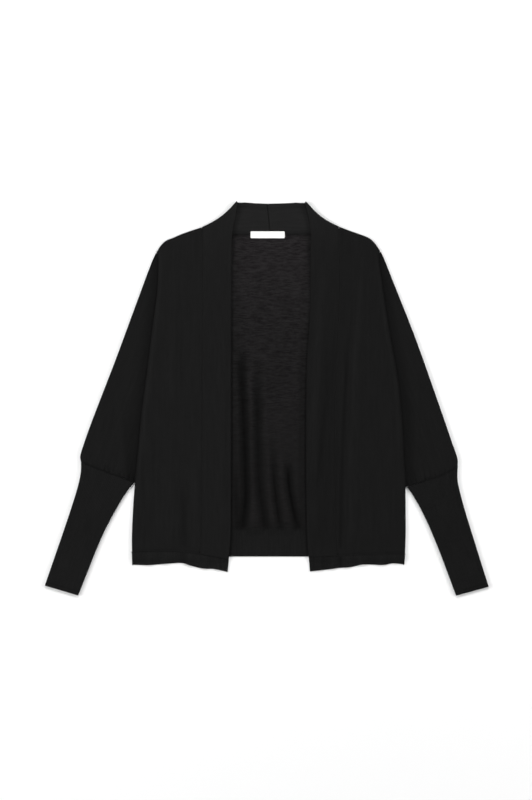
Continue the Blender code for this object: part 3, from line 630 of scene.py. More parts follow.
rib_columns = int((side_x[1] - side_x[-1]) / RIB_COLUMN)
across, down = lattice(spaced(0, rib_columns, 1), spaced(0, 12, 0.34, 8, 0.9, 3, 1))
y = blend(BACK_HEM_SEAM, BACK_HEM_END, down)
x = blend(x_at(SIDE_SEAM[-1], y) + GAP, x_at(SIDE_SEAM[1], y) - GAP, across)
height = HEM / 2 + back_lift(x, y) + HEM_SWELL * between_fronts(x) * np.sin(pi * down) ** 0.5
# The band takes the back's painted shadows, shade and highlights without its top to bottom gradient, and is
# drawn a little darker at its seam than at its lower edge.
shade = back_shade(x, y) / plain_shade(y) * (0.94 + 0.08 * down)
hem_back = shell("back_hem_band", np.dstack((x, y, height)), HEM, pairs(x, y), rib, shade, under=(rib, 1.0))
ribbed(hem_back, RIB_PITCH)
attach(hem_back, "root")
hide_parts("hem_back")

# ---------------------------------------------------------------- fronts
# Two panels of the same jersey, face side up, lying on the back. Each is linked to the back along
# the shoulder and the side, and to the sleeve along the armhole, where it rolls over softly.
SIDES = ((-1, "right"), (1, "left"))            # the wearer's
BAND = 2.6              # front band and collar, doubled
BAND_WIDTH = 51.0
ROLL_ARMHOLE = 2.0      # how far a front swells beside its armhole
ROLL_SIDE = 0.9         # how far it swells beside its other outer edges
ROLL_WIDTH = 34.0
HEM_DROP = 11.0         # length over which a front hem comes down past the back's edge
FRONT_LENGTH = 560.0
BAND_CLEAR = 0.2        # added to GAP beside the front band, where both edges are slanted
SIDE_FOOT = -262.0      # y below which a front's side runs straight to its hem seam
ONTO_HEM = 14.0         # length over which a front rises onto the back's hem band
SEWN_SIDE = 9.0         # width over which it comes up from its seam with the back
SEWN_TOP = 24.0         # and from its shoulder

HEM_SEAM = {
    -1: [(-235.8, -268), (-168, -266.7), (-140, -268.6), (-100, -275), (-66, -281.5)],
    1: [(242.6, -271.2), (206, -272), (160, -273.6), (100, -276.5), (74, -277)],
}
FRONT_FOLDS = {
    -1: [Fold(-76, 170, -77, -60, -79, -262, 13, 13, 1.8, 110, 70, 0.03),
         Fold(-126, -70, -123, -170, -121, -264, 14, 12, 2.2, 80, 34, 0.08),
         Fold(-168, 225, -163, 110, -166, -60, 15, 17, 1.8, 80, 100, 0.02),
         Fold(-173, -70, -168, -170, -166, -264, 14, 16, 2.4, 90, 34, 0.03),
         Fold(-204, -30, -207, -150, -206, -264, 11, 13, 1.6, 90, 34, 0.02),
         Fold(-147, -110, -145, -190, -144, -264, 13, 11, 0, 90, 10, -0.22),
         Fold(-153, 150, -150, 77, -149, 0, 5, 5, 0, 60, 60, -0.10),
         Fold(-216, -60, -214, -150, -214, -262, 7, 8, 0, 60, 20, -0.10)],
    1: [Fold(170, 262, 150, 0, 145, -266, 9, 22, 3, 170, 34, 0.10),
        Fold(100, 190, 92, 30, 84, -170, 13, 13, 1.9, 90, 100, 0.02),
        Fold(122, 0, 117, -130, 114, -264, 13, 10, 1.8, 110, 34, 0),
        Fold(206, 90, 208, -90, 206, -266, 14, 16, 1.7, 120, 34, 0.02),
        Fold(98, 262, 88, 77, 78, -110, 12, 12, 0, 90, 60, 0.14),
        Fold(116, 150, 108, -60, 98, -264, 24, 22, 0, 90, 20, -0.12),
        Fold(109, 70, 94, -98, 87, -190, 7, 8, 0, 90, 70, -0.18),
        Fold(145, 150, 133, -98, 129, -264, 6, 5, 0, 120, 10, -0.31),
        Fold(169, 264, 155, 77, 150, -20, 6, 7, 0, 30, 80, 0.12)],
}
Ripple = namedtuple("Ripple", "x half_width height")
RIPPLES = {
    -1: [Ripple(-206, 13, 1.5), Ripple(-176, 11, 1.8), Ripple(-136, 14, 2.3), Ripple(-108, 10, 1.8),
         Ripple(-86, 9, 1.4)],
    1: [Ripple(92, 9, 1.4), Ripple(116, 10, 2), Ripple(140, 10, 1.6), Ripple(167, 13, 2.4),
        Ripple(201, 13, 1.6), Ripple(225, 8, 1.2)],
}
RIPPLE_LENGTH = 24.0


def fold_height(folds, x, y):
    """What the folds add to the height at plan points."""
    return sum(fold.height * profile(fold, x, y) for fold in folds)


def front_height(sign, x, y):
    """The middle of the front layer: the panel, its hem band and the front band share it."""
    beneath = blend(JERSEY, HEM, ease((BACK_HEM_SEAM + ONTO_HEM + 2.0 - y) / ONTO_HEM))
    laid = beneath + GAP + BAND / 2
    past = ease((BACK_HEM_END - 1.5 - y) / HEM_DROP)
    total = blend(laid, HEM / 2, past) + fold_height(FRONT_FOLDS[sign], x, y)
    low = ease((BACK_HEM_END + RIPPLE_LENGTH / 2 - y) / RIPPLE_LENGTH)
    for ripple in RIPPLES[sign]:
        total += ripple.height * low * hump((x - ripple.x) / ripple.half_width)
    return total


PAINTED_FALLOFF = {-1: 1.0, 1: 0.90}     # the wearer's left is painted darker, as painted shade from the light falling off towards that side
LINE_SHADE = 0.22               # painted shade along a row of stitches, this much darker than the knit
hem_seam_y = {sign: spline(*zip(*sorted(points))) for sign, points in HEM_SEAM.items()}
front_panel, front_inner = {}, {}
for sign, wearer in SIDES:
    inwards, outwards = (-sign * GAP, 0.0), (sign * (BAND_WIDTH + GAP + BAND_CLEAR), 0.0)
    foot_x, foot_y = HEM_SEAM[sign][0]
    side = [point for point in SIDE_SEAM[sign] if point[1] > SIDE_FOOT] + [(foot_x, foot_y + GAP)]
    outer = join(line(ARMHOLE[sign], inwards), line(side, inwards), ARMHOLE_SHARE)
    corner = np.array(SHOULDER[sign][0]) + (sign * 2 * GAP, -GAP)
    below_corner = np.array(NECK[sign][0]) + (sign * 2 * GAP, -6.0)
    beside_band = np.array(FREE_EDGE[sign]) + outwards
    foot_x = beside_band[0][0]
    inner_foot = np.array((foot_x, hem_seam_y[sign](foot_x) + GAP))
    inner = front_inner[sign] = line([corner, below_corner, *beside_band[:0:-1], inner_foot])
    shoulder = line([corner, *SHOULDER[sign][1:-1], outer(0.0)])

    def foot_line(across):
        x = blend(outer(1.0)[0], inner_foot[0], across)
        return pairs(x, hem_seam_y[sign](x) + GAP)

    across, down = lattice(spaced(0, 14, 0.2, 34, 0.9, 6, 1), spaced(0, 10, 0.05, 130, 0.9, 20, 1))
    plan = patch(lambda across: shoulder(1 - across), foot_line, outer, inner)(across, down)
    x, y = xy(plan)
    width = abs(inner(down)[..., 0] - outer(down)[..., 0])
    from_side, from_seam, from_top = across * width, (1 - across) * width, down * FRONT_LENGTH
    roll = blend(ROLL_ARMHOLE, ROLL_SIDE, ease((down - ARMHOLE_SHARE) / 0.14 + 1))
    off = np.minimum(from_side, ROLL_WIDTH) / ROLL_WIDTH
    swell = roll * np.sin(pi * off ** 0.6) * ease(from_top / ROLL_WIDTH) * ease(from_seam / 20)
    sewn_side = 1 - ease(from_side / SEWN_SIDE)
    sewn_top = (1 - ease(from_top / SEWN_TOP)) * ease(from_seam / SEWN_TOP)
    sewn_down = (BAND - JERSEY) / 2 * np.maximum(sewn_side, sewn_top)
    free = ease(from_side / 12) * ease(from_seam / 8) * ease(from_top / 20) * ease((1 - down) * 30)
    height = front_height(sign, x, y) + swell - sewn_down + free * unevenness(x + 40 * sign, y)
    # The roll beside the armhole is painted lighter, as painted highlight, and the groove at the seam is
    # painted darker, as painted shade. Above the hem band is a lighter row, where it is linked on, then a
    # darker row of stitches.
    at_armhole = ease((0.76 - down) / 0.1) * ease(down / 0.06)
    shade = PAINTED_FALLOFF[sign] * fold_shade(FRONT_FOLDS[sign], x, y)
    shade *= 1 + 0.16 * at_armhole * hump((from_side - 7) / 7)
    shade *= dim(from_side, within=3.0, by=0.30)
    above_hem = (y - hem_seam_y[sign](x)) / 2.5
    shade *= (1 - LINE_SHADE * hump(above_hem - 1.6)) * (1 + 0.12 * ease(1 - above_hem))
    panel = shell(wearer + "_front", np.dstack((x, y, height)), JERSEY, plan, jersey, shade)
    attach(panel, "root")
    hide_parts("front_" + wearer)
    front_panel[sign] = panel

# ---------------------------------------------------------------- front hem bands
# A band of fine rib along the lower edge of each front. It has stretched a little, so its edge
# ripples, and past the back's edge it comes down to the surface.
HEM_END = {
    -1: [(-235.3, -290), (-206, -290.6), (-168, -287.8), (-147, -287.2), (-133, -291.6),
         (-112, -296.6), (-92, -297.6), (-68.3, -302.8)],
    1: [(241.4, -289.6), (222, -287.6), (206, -290.4), (168, -289.8), (148, -294.2),
        (126, -295.8), (104, -298.8), (76.1, -301.9)],
}

HEM_SHADE = 1.04
for sign, wearer in SIDES:
    near = np.array(HEM_SEAM[sign][0]) - (0, GAP)
    far = np.array(HEM_SEAM[sign][-1]) - (0, GAP)

    def hem_top(across):
        x = blend(near[0], far[0], across)
        return pairs(x, hem_seam_y[sign](x) - GAP)

    end = line(HEM_END[sign])
    across, down = lattice(spaced(0, int(abs(far[0] - near[0]) / RIB_COLUMN), 1), spaced(0, 14, 1))
    plan = patch(hem_top, end, chord(near, end(0.0)), chord(far, end(1.0)))(across, down)
    x, y = xy(plan)
    shade = PAINTED_FALLOFF[sign] * HEM_SHADE * fold_shade(FRONT_FOLDS[sign], x, np.maximum(y, -240))
    # Each ripple is painted a little lighter along its crest, as painted highlight.
    for ripple in RIPPLES[sign]:
        shade *= 1 + 0.10 * hump((x - ripple.x) / ripple.half_width)
    wall = np.dstack((x, y, front_height(sign, x, y)))
    band_hem = shell(wearer + "_front_hem_band", wall, HEM, plan, rib, shade)
    ribbed(band_hem, RIB_PITCH)
    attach(band_hem, "root")
    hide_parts("hem_front_" + wearer)

# ---------------------------------------------------------------- front band and collar
# One doubled strip of jersey, 51 mm wide, in two halves. Each half runs up a front, folds over at
# the neck and comes round behind it as the collar, linked at the centre back.
BAND_EDGE = 1.0         # the band at its folded free edge
BAND_SEAM = 1.4         # the band where it is linked on
FOLD_SEWN = 1.1         # radius of the collar's fold at the linked edge
FOLD_FREE = 2.9         # and at the free edge
FOLD_BOW = 5.0          # how far the fold's line sags
COLLAR_LOFT = 95.0      # how far down the front the collar's fold holds the band up
COLLAR_STITCH = 6.0     # from the collar's upper edge to the row of stitches along it
WALE_COLUMN = 12        # the column of points whose length gives the places along the wales
# The band is painted lighter towards the neck, as painted light where it faces the light more, and
# behind it the collar, which lies single, is lighter still.
BAND_SHADE = ((-280, 1), (60, 1), (200, 1.03), (262, 1.10), (318, 1.22), (344, 1.36))
COLLAR_SHADE = 1.50

FREE_LEAN = {-1: [(-60.6, 256), (-59.6, 287), (-54.6, 316)],
             1: [(77, 256), (77.2, 287), (74, 316)]}
COLLAR_TOP = {-1: [(-52.2, 346.8), (-40, 344.6), (-24, 343.2), (1.4, 342)],
              1: [(69.2, 346.4), (56, 344.4), (36, 343), (1.4, 342)]}

# The same jersey doubled, with its wales along the band.
band_knit = knit_material("black viscose jersey, doubled band", "#101010", "#1a1a1a", FACE_STITCH,
                          (4, 50), 0.35)
# part runs across the band, from 0 where it is linked on to 1 at its free edge. It thins towards both.
SEAM_PART, EDGE_PART = 0.14, 0.035
part = np.array(spaced(0, 4, SEAM_PART, 16, 0.86, 6, 1 - EDGE_PART, 3, 1.0))
sewn_thickness = blend(BAND_SEAM, BAND, ease(part / SEAM_PART))
band_thickness = blend(BAND_EDGE, sewn_thickness, np.clip((1 - part) / EDGE_PART, 0, 1) ** 0.5)
radius = blend(FOLD_SEWN, FOLD_FREE, part)
folded = sewn_thickness / 2 + 2 * radius
band_shade = spline(*zip(*BAND_SHADE))
front_band = {}
for sign, wearer in SIDES:
    # The fold's line: out points past the outline, and the axis lies one radius and half a wall in.
    sewn_end, free_end = np.array(SHOULDER[sign][0]), np.array(COLLAR_TOP[sign][0])
    along = (free_end - sewn_end) / np.linalg.norm(free_end - sewn_end)
    out = np.array((-along[1], along[0])) * -sign
    in_by = FOLD_BOW * np.sin(pi * part) + radius + band_thickness / 2
    axis = chord(sewn_end, free_end)(part) - np.outer(in_by, out)
    bow = axis - chord(axis[0], axis[-1])(part)

    def band_height(plan):
        laid = front_height(sign, *xy(plan))
        near = 1 - ease(((axis - plan) @ out) / COLLAR_LOFT)
        return blend(laid, np.maximum(folded, laid), near)

    rows, heights, shades = [], [], []
    free = line(FREE_EDGE[sign])
    foot_y = free(0.0)[1]
    for up in spaced(0, 8, 0.04, 190, 1.0):
        edge = free(up)
        x = edge[0] + sign * BAND_WIDTH * (1 - part)
        y = edge[1] + (hem_seam_y[sign](x) + GAP - foot_y) * (1 - up)
        rows.append(pairs(x, y))
        heights.append(band_height(rows[-1]))
        shades.append(PAINTED_FALLOFF[sign] * band_shade(y) * fold_shade(FRONT_FOLDS[sign], x, y))
    lean = line([*FREE_LEAN[sign], axis[-1]])
    sewn_level = np.array(FREE_LEAN[sign][0]) + (sign * BAND_WIDTH, 0)
    for turn in spaced(0, 34, 1.0)[1:-1]:
        rows.append(chord(blend(sewn_level, axis[0], turn), lean(turn))(part) + bow * ease(turn))
        heights.append(band_height(rows[-1]))
        shades.append(blend(PAINTED_FALLOFF[sign], 1.0, turn) * band_shade(rows[-1][:, 1]))
    # Round the fold the band's lower half is painted up to 0.4 darker, as painted shade.
    for angle in np.radians(spaced(90, 18, -90)):
        rows.append(axis + np.outer(radius * cos(angle), out))
        heights.append(band_thickness / 2 + radius * (1 + sin(angle)))
        shades.append(band_shade(rows[-1][:, 1]) * blend(1.0, 0.6, ease(-sin(angle))))
    sewn, top = line(NECK[sign]), line(COLLAR_TOP[sign])
    for run in spaced(0.02, 49, 1.0):
        plan = chord(sewn(run), top(run))(part) + bow * (1 - ease(run / 0.5))
        plan += np.outer(part * (1 - ease(run / 0.3)), axis[-1] - free_end)
        plan[:, 0] += sign * GAP / 2 * (run == 1.0)
        rows.append(plan)
        heights.append(band_thickness / 2)
        # Behind the neck the collar is painted darker beside its fold and beside its neck seam, as painted
        # shade, and along its row of stitches.
        from_fold = run * np.linalg.norm(sewn(1.0) - sewn(0.0))
        beside_line = hump(((1 - part) * BAND_WIDTH - COLLAR_STITCH) / 1.8)
        shades.append(COLLAR_SHADE * dim(from_fold, within=12.0, by=0.42) * (1 - LINE_SHADE * beside_line)
                      * dim(part * BAND_WIDTH, within=8.0, by=0.2))
    rows, heights, shades = np.array(rows), np.array(heights), np.array(shades)
    # The band's free edge is painted darker, as painted shade.
    shades *= dim((1 - part) * BAND_WIDTH, within=1.6, by=0.30)
    middle = np.dstack((rows, heights))
    flat_plan = pairs(part * BAND_WIDTH, lengths(middle[:, WALE_COLUMN])[:, None])
    front_band[sign] = shell(wearer + "_front_band", middle, band_thickness, flat_plan, band_knit, shades)
    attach(front_band[sign], "root")
    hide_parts("band_" + wearer)

# ---------------------------------------------------------------- sleeves
# Each is one sheet of jersey, folded along the overarm and linked to the body at the armhole. The
# cuff is far narrower than its end, which is drawn into small uneven gathers.
SLEEVE_TOP = 4.2        # height of the middle of a sleeve's upper face
SLEEVE_START = 0.012    # share of the armhole above the sleeve's tip
SLEEVE_LENGTH = 420.0
GATHER_HALF = 4.2       # half width of one gather
DIP_HALF = 3.0          # and of the painted shade in the dip between two
GATHER_SEWN = 0.45      # the share of a gather's height that is left where the cuff is linked on

OVERARM = {
    -1: [(-193.4, 256.2), (-201.4, 238.4), (-223.5, 179.4), (-264.8, 67.4), (-306.2, -40),
         (-322.6, -86.6), (-326.2, -101), (-324.6, -109.4)],
    1: [(200.3, 258), (207, 243), (221, 207.4), (259.7, 109.4), (298.8, -0.6), (325.4, -77.6),
        (334.2, -104), (334.4, -118)],
}
CUFF_JOINT = {
    -1: [(-231.4, -145.7), (-242, -140.5), (-260, -134), (-295.8, -121), (-324.6, -109.4)],
    1: [(244.4, -152.4), (257.8, -148.4), (283.3, -140.4), (309, -132), (334.4, -118)],
}
SLEEVE_FOLDS = {
    -1: [Fold(-262, 40, -254, -60, -245, -132, 9, 12, 1.3, 80, 22, 0.04),
         Fold(-287, 0, -291, -60, -293, -106, 10, 8, 0.9, 50, 26, 0.06),
         Fold(-240, 20, -244, -60, -240, -150, 16, 16, 0, 90, 10, -0.16)],
    1: [Fold(262, 60, 264, -40, 258, -138, 12, 9, 1.4, 90, 22, 0.04),
        Fold(292, -10, 301, -66, 306, -116, 8, 10, 0.9, 50, 26, 0.06),
        Fold(232, 90, 250, -20, 258, -150, 16, 18, 0, 110, 10, -0.14)],
}
# The sleeves are drawn a little darker than the body, and the wearer's left darker still, a painted shade
# from the light falling off towards that side.
SLEEVE_SHADE = {-1: 0.95, 1: 0.88}
# part is a gather's place from the armhole to the overarm, and length how far it runs up from the cuff.
Gather = namedtuple("Gather", "part height length")
GATHERS_OVER = [Gather(0.07, 1.3, 20), Gather(0.16, 1.7, 28), Gather(0.24, 1.2, 16),
                Gather(0.33, 1.6, 24), Gather(0.42, 1.3, 18), Gather(0.52, 1.7, 27),
                Gather(0.61, 1.2, 17), Gather(0.70, 1.5, 22), Gather(0.80, 1.2, 15),
                Gather(0.90, 1.3, 19)]
# How much darker the painted shade is down between two gathers at the cuff, from the armhole to the overarm.
BETWEEN_GATHERS = {-1: (0.62, 0.60, 0.20, 0.44, 0.12, 0.44, 0.52, 0.14, 0.20, 0.10, 0.06),
                   1: (0.55, 0.30, 0.24, 0.12, 0.34, 0.20, 0.14, 0.30, 0.08, 0.16, 0.06)}
GATHERS_UNDER = [Gather(0.09, 1, 18), Gather(0.20, 1.2, 22), Gather(0.31, 0.9, 15),
                 Gather(0.42, 1.2, 20), Gather(0.53, 1, 16), Gather(0.65, 1.2, 22),
                 Gather(0.77, 0.9, 15), Gather(0.89, 1.1, 18)]


def gather_height(gathers, part, width, from_joint):
    """What the gathers add to the height: small ridges that run up from the cuff and fade."""
    total = 0.0
    for gather in gathers:
        ends = (1 - ease(from_joint / gather.length)) * blend(GATHER_SEWN, 1.0, ease(from_joint / 4))
        total = total + gather.height * ends * hump((part - gather.part) * width / GATHER_HALF)
    return total


def flat_tube(at, down, over, under, top, low, thickness, height=None, lift=None, closed=False):
    """Rows of flattened cloth: over, round the far fold, and back under; closed adds the near fold.

    at gives the plan by across and down, top and low are the heights of the faces' middles, by row.
    height replaces top, and lift raises the under face.
    """
    down = np.array(down)
    near, far = at(np.zeros_like(down), down), at(np.ones_like(down), down)
    width = np.linalg.norm(far - near, axis=1)
    way = (far - near) / width[:, None]
    r = (top - low) / 2 * np.ones_like(down)
    inset = (r + thickness / 2) / width
    first, last = inset if closed else np.zeros_like(down), 1 - inset

    def face(parts, reach):
        place = blend(first[:, None], last[:, None], np.array(parts))
        plan = at(place, np.broadcast_to(down[:, None], place.shape))
        return np.dstack((plan, reach(place, plan)))

    def fold(place, outwards, angles):
        angles = np.radians(angles)
        plan = at(place, down)[:, None] + outwards[:, None] * (r[:, None] * np.cos(angles))[..., None]
        return np.dstack((plan, low + r[:, None] * (1 + np.sin(angles))))

    def upper(place, plan):
        return height(place, plan) if height else np.broadcast_to(top, place.shape)

    def lower(place, plan):
        return low + (lift(place) if lift else np.zeros_like(place))

    turned = (67.5, 45, 22.5, 0, -22.5, -45, -67.5)
    sections = [face(over, upper), fold(last, way, turned), face(under[::-1], lower)]
    return np.hstack(sections + ([fold(first, -way, turned[::-1])] if closed else []))


cuff_joint = {}
for sign, wearer in SIDES:
    armhole = line(ARMHOLE[sign], (sign * GAP, 0))

    def sleeve_edge(down):
        return armhole(blend(SLEEVE_START, 1.0, down))

    tip = chord(sleeve_edge(0.0), OVERARM[sign][0])
    at = patch(tip, line(CUFF_JOINT[sign]), sleeve_edge, line(OVERARM[sign]))
    down = np.array(spaced(0, 8, 0.03, 86, 0.9, 40, 1))
    from_joint = ((1 - down) * SLEEVE_LENGTH)[:, None]
    width = np.linalg.norm(at(np.ones_like(down), down) - at(np.zeros_like(down), down), axis=1)[:, None]
    sewn = JERSEY + GAP + JERSEY / 2
    crown = blend(sewn, SLEEVE_TOP, ease(width / 60))

    def sleeve_height(place, plan):
        rise = ease(place * width / np.minimum(28.0, width))
        x, y = xy(plan)
        folds = fold_height(SLEEVE_FOLDS[sign], x, y)
        level = rise * ease((1 - place) * width / 14) * unevenness(x, y + 55 * sign)
        gathered = gather_height(GATHERS_OVER, place, width, from_joint)
        return blend(sewn, crown, rise) + folds + level + gathered

    def sleeve_lift(place):
        return gather_height(GATHERS_UNDER, place, width, from_joint)

    # The sleeve is painted darker down between the gathers at the cuff, beside the armhole where the front
    # rolls over it, and a little by the cuff's seam: painted shade.
    def sleeve_shade(place, plan):
        parts = [0.0] + [gather.part for gather in GATHERS_OVER] + [1.0]
        dip_shade = 1.0
        for before, after, share in zip(parts, parts[1:], BETWEEN_GATHERS[sign]):
            off = (place - (before + after) / 2) * width + 0.25 * from_joint
            reach = 1 - ease(from_joint / (10 + 16 * share))
            dip_shade = dip_shade - share * reach * hump(off / DIP_HALF)
        from_armhole = place * width
        total = SLEEVE_SHADE[sign] * fold_shade(SLEEVE_FOLDS[sign], *xy(plan))
        total *= dim(from_armhole, within=22.0, by=0.38) * dim(from_armhole, within=5.0, by=0.2)
        return total * dip_shade * dim(from_joint, within=4.0, by=0.10)

    over = spaced(0, 10, 0.16, 74, 1)
    middle = flat_tube(at, down, over, spaced(0, 48, 1), crown[:, 0], JERSEY / 2, JERSEY, sleeve_height,
                       sleeve_lift)
    round_tube = lengths(middle, axis=1)
    round_tube -= round_tube[:, len(over):len(over) + 1]
    flat_plan = pairs(round_tube, (down * SLEEVE_LENGTH)[:, None])
    shade = np.full(middle.shape[:2], SLEEVE_SHADE[sign])
    place = np.array(over) * (1 - (crown[:, 0] / 2 + JERSEY / 4) / width[:, 0])[:, None]
    shade[:, :len(over)] = sleeve_shade(place, middle[:, :len(over), :2])
    sleeve = shell(wearer + "_sleeve", middle, JERSEY, flat_plan, jersey, shade)
    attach(sleeve, "root")
    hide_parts("sleeve_" + wearer)
    cuff_joint[sign] = middle[-1] + (sign * 0.1, -GAP, 0.0)

# ---------------------------------------------------------------- cuffs
# Long tubes of fine rib from the gathers to the wrist, lying flat. The ribs run the whole length and
# close up towards the wrist.
RIB = 1.5               # thickness of the rib knit
CUFF_TOP = 4.1          # height of the middle of a cuff's upper face
CUFF_LENGTH = 224.0
CUFF_RIB = 2.4          # one rib of a cuff at its knitted width
COLUMNS_TO_RIB = 8
BIND_OFF = 7.0          # from a cuff's end to the row where its ribs are bound off
BOUND_IN = 0.35         # how much thinner it is there
CUFF_SHADE = 0.97
CUFF_LIGHTER = 120.0    # from a cuff's joint to where it turns a little lighter

CUFF_OUTER = {
    -1: [(-324.6, -110), (-325.2, -128.6), (-331.3, -156.6), (-349.1, -212.6), (-388.2, -326.4)],
    1: [(334.4, -118.6), (334.4, -142.6), (344.4, -184.6), (361.4, -240.6), (389, -328.4)],
}
CUFF_INNER = {
    -1: [(-232.2, -147.8), (-240.6, -157.3), (-258.3, -184.6), (-287.7, -240.6), (-329.4, -343.9)],
    1: [(245.3, -154.4), (253, -164.2), (272.6, -198), (297.6, -254.6), (331.6, -344.2)],
}

for sign, wearer in SIDES:
    inner, outer, joint = line(CUFF_INNER[sign]), line(CUFF_OUTER[sign]), line(CUFF_JOINT[sign])

    def cuff_top(across):
        bent = joint(across) - chord(joint(0.0), joint(1.0))(across)
        bent[..., 1] += 2 * GAP * np.sin(pi * across)
        return chord(inner(0.0), outer(0.0))(across) + bent

    at = patch(cuff_top, chord(inner(1.0), outer(1.0)), inner, outer)
    down = np.array(spaced(0, 4, 0.03, 44, 0.955, 12, 1))
    middle = flat_tube(at, down, spaced(0, 220, 1), spaced(0, 220, 1), CUFF_TOP, RIB / 2, RIB, closed=True)
    columns = middle.shape[1]
    from_end, from_joint = (1 - down) * CUFF_LENGTH, down * CUFF_LENGTH
    flat_plan = pairs(np.arange(columns) * CUFF_RIB / COLUMNS_TO_RIB, from_joint[:, None])
    # The bound-off row and the cuff's joint are painted darker, as painted shade in the row's groove and by
    # the seam.
    bound = hump((from_end - BIND_OFF) / 1.6)
    shade = CUFF_SHADE * PAINTED_FALLOFF[sign] * (1 - LINE_SHADE * bound) * dim(from_joint, within=3.0, by=0.12)
    shade *= 1 + 0.06 * ease((from_joint - CUFF_LIGHTER) / 60)
    thickness = RIB - BOUND_IN * bound[:, None]
    cuff = shell(wearer + "_cuff", middle, thickness, flat_plan, rib, shade[:, None], ring=True)
    ribbed(cuff, CUFF_RIB)
    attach(cuff, "root")
    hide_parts("cuff_" + wearer)

# ---------------------------------------------------------------- label
# A bare white tape of woven polyester, cut to length and folded in at its ends. It is sewn over the
# middle of the neck seam, down on the collar and the back.
label_low, label_high = box_in_plan("label")
LABEL = 0.8             # thickness of the tape with its folded ends
across, down = lattice(spaced(0, 90, 1), spaced(0, 24, 1))
from_end = np.minimum(across, 1 - across) * (label_high[0] - label_low[0])
from_edge = np.minimum(down, 1 - down) * (label_high[1] - label_low[1])
# The cut ends are folded under, which rounds the corners and draws them in a little. The stitches that
# hold each end down press a shallow groove beside it.
drawn_in = 0.5 * ease(1 - from_end / 1.4) * ease(1 - from_edge / 1.4)
x = blend(label_low[0], label_high[0], across) + drawn_in * np.sign(0.5 - across)
y = blend(label_high[1], label_low[1], down) + drawn_in * np.sign(down - 0.5)
height = blend(label_high[2] - LABEL / 2, label_low[2] + LABEL / 2, ease(down / 0.65))
height -= 0.18 * ease(1 - from_end / 2.0) + 0.12 * hump((from_end - 2.6) / 0.9)

# Polyester satin tape: a fine bright warp runs along it. It has about 20 threads to the centimetre,
# drawn half as fine, which leaves no more than a soft sheen in the picture.
THREAD = 0.9
tape, tree = new_material("white woven polyester tape")
place = add(tree, "ShaderNodeAttribute", attribute_name="knit").outputs["Vector"]
weave = add(tree, "ShaderNodeTexWave", {"Vector": place, "Scale": 1 / (THREAD * MM) / 2 / pi,
                                        "Distortion": 0.4, "Detail": 1.0},
            bands_direction="Y", wave_profile="SIN").outputs["Fac"]
slub = add(tree, "ShaderNodeTexNoise", {"Vector": place, "Scale": 260.0, "Detail": 3.0}).outputs["Fac"]
woven = add(tree, "ShaderNodeMath", {0: slub, 1: 0.4, 2: weave}, operation="MULTIPLY_ADD").outputs[0]
white = add(tree, "ShaderNodeMix", {0: woven, 6: linear("#ecebe8"), 7: linear("#f8f7f5")}, data_type="RGBA")
finish(tree, white.outputs[2], woven, 0.4, 0.05, 0.42, 0.3)
label = shell("neck_label", np.dstack((x, y, height)), LABEL, pairs(x, y), tape)
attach(label, "root")
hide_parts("label")

# ---------------------------------------------------------------- linked seams
# Each seam is a row of chain stitches in matt black yarn round the two edges that it joins. Seen from
# the outside it lies in the groove between them, as a cord with small V stitches.
STITCH_PITCH = 2.2      # the real chain has a stitch each 1.4 mm, too fine to show
YARN_RADIUS = 0.3
LEAN = 0.42             # how far a leg of a V leans, in radians
UNDER_SIDE = 1.3        # how far in from the outline a side seam lies, beneath the front
UNDER_SHOULDER = 1.2    # and a shoulder seam

# One stitch is two long beads that lean into a V, sunk part way into the cord that they lie along.
chain, chain_inputs, given = geometry_tree("chain stitch seam", (
    ("Route", "Geometry"), ("Pitch", "Float"), ("Yarn Radius", "Float"), ("Cord Radius", "Float"),
    ("Yarn", "Material")), "Seam")
route = add(chain, "GeometryNodeMeshToCurve", {0: given["Route"]}).outputs[0]
places = add(chain, "GeometryNodeResampleCurve", {"Curve": route, "Length": given["Pitch"]}, mode="LENGTH")
length = add(chain, "ShaderNodeMath", {0: given["Pitch"], 1: 0.62}, operation="MULTIPLY").outputs[0]
bead_size = add(chain, "ShaderNodeCombineXYZ", {0: length, 1: given["Yarn Radius"], 2: given["Yarn Radius"]})
bead = add(chain, "GeometryNodeMeshUVSphere", {"Segments": 6, "Rings": 4, "Radius": 1.0}).outputs[0]
rise = add(chain, "ShaderNodeMath", {0: given["Cord Radius"], 1: 0.8}, operation="MULTIPLY").outputs[0]
stitch = add(chain, "GeometryNodeJoinGeometry")
for side in (1, -1):
    aside = add(chain, "ShaderNodeMath", {0: given["Yarn Radius"], 1: -1.1 * side}, operation="MULTIPLY")
    aside = add(chain, "ShaderNodeCombineXYZ", {1: aside.outputs[0], 2: rise}).outputs[0]
    leg = add(chain, "GeometryNodeTransform", {"Geometry": bead, "Translation": aside,
                                               "Rotation": (0.0, 0.0, LEAN * side),
                                               "Scale": bead_size.outputs[0]})
    chain.links.new(leg.outputs[0], stitch.inputs[0])
tangent = add(chain, "GeometryNodeInputTangent").outputs[0]
turned = add(chain, "FunctionNodeAlignRotationToVector", {"Vector": tangent}, axis="X")
stitches = add(chain, "GeometryNodeInstanceOnPoints", {
    "Points": places.outputs[0], "Rotation": turned.outputs[0], "Instance": stitch.outputs[0]})
ring = add(chain, "GeometryNodeCurvePrimitiveCircle", {"Resolution": 8, "Radius": given["Cord Radius"]})
cord = add(chain, "GeometryNodeCurveToMesh", {"Curve": route, "Profile Curve": ring.outputs[0],
                                              "Fill Caps": True})
seam_parts = add(chain, "GeometryNodeJoinGeometry")
for made in (stitches, cord):
    chain.links.new(made.outputs[0], seam_parts.inputs[0])
real = add(chain, "GeometryNodeRealizeInstances", {0: seam_parts.outputs[0]})
smooth = add(chain, "GeometryNodeSetShadeSmooth", {0: real.outputs[0]})
coloured = add(chain, "GeometryNodeSetMaterial", {0: smooth.outputs[0], "Material": given["Yarn"]})
add(chain, "NodeGroupOutput", {0: coloured.outputs[0]})


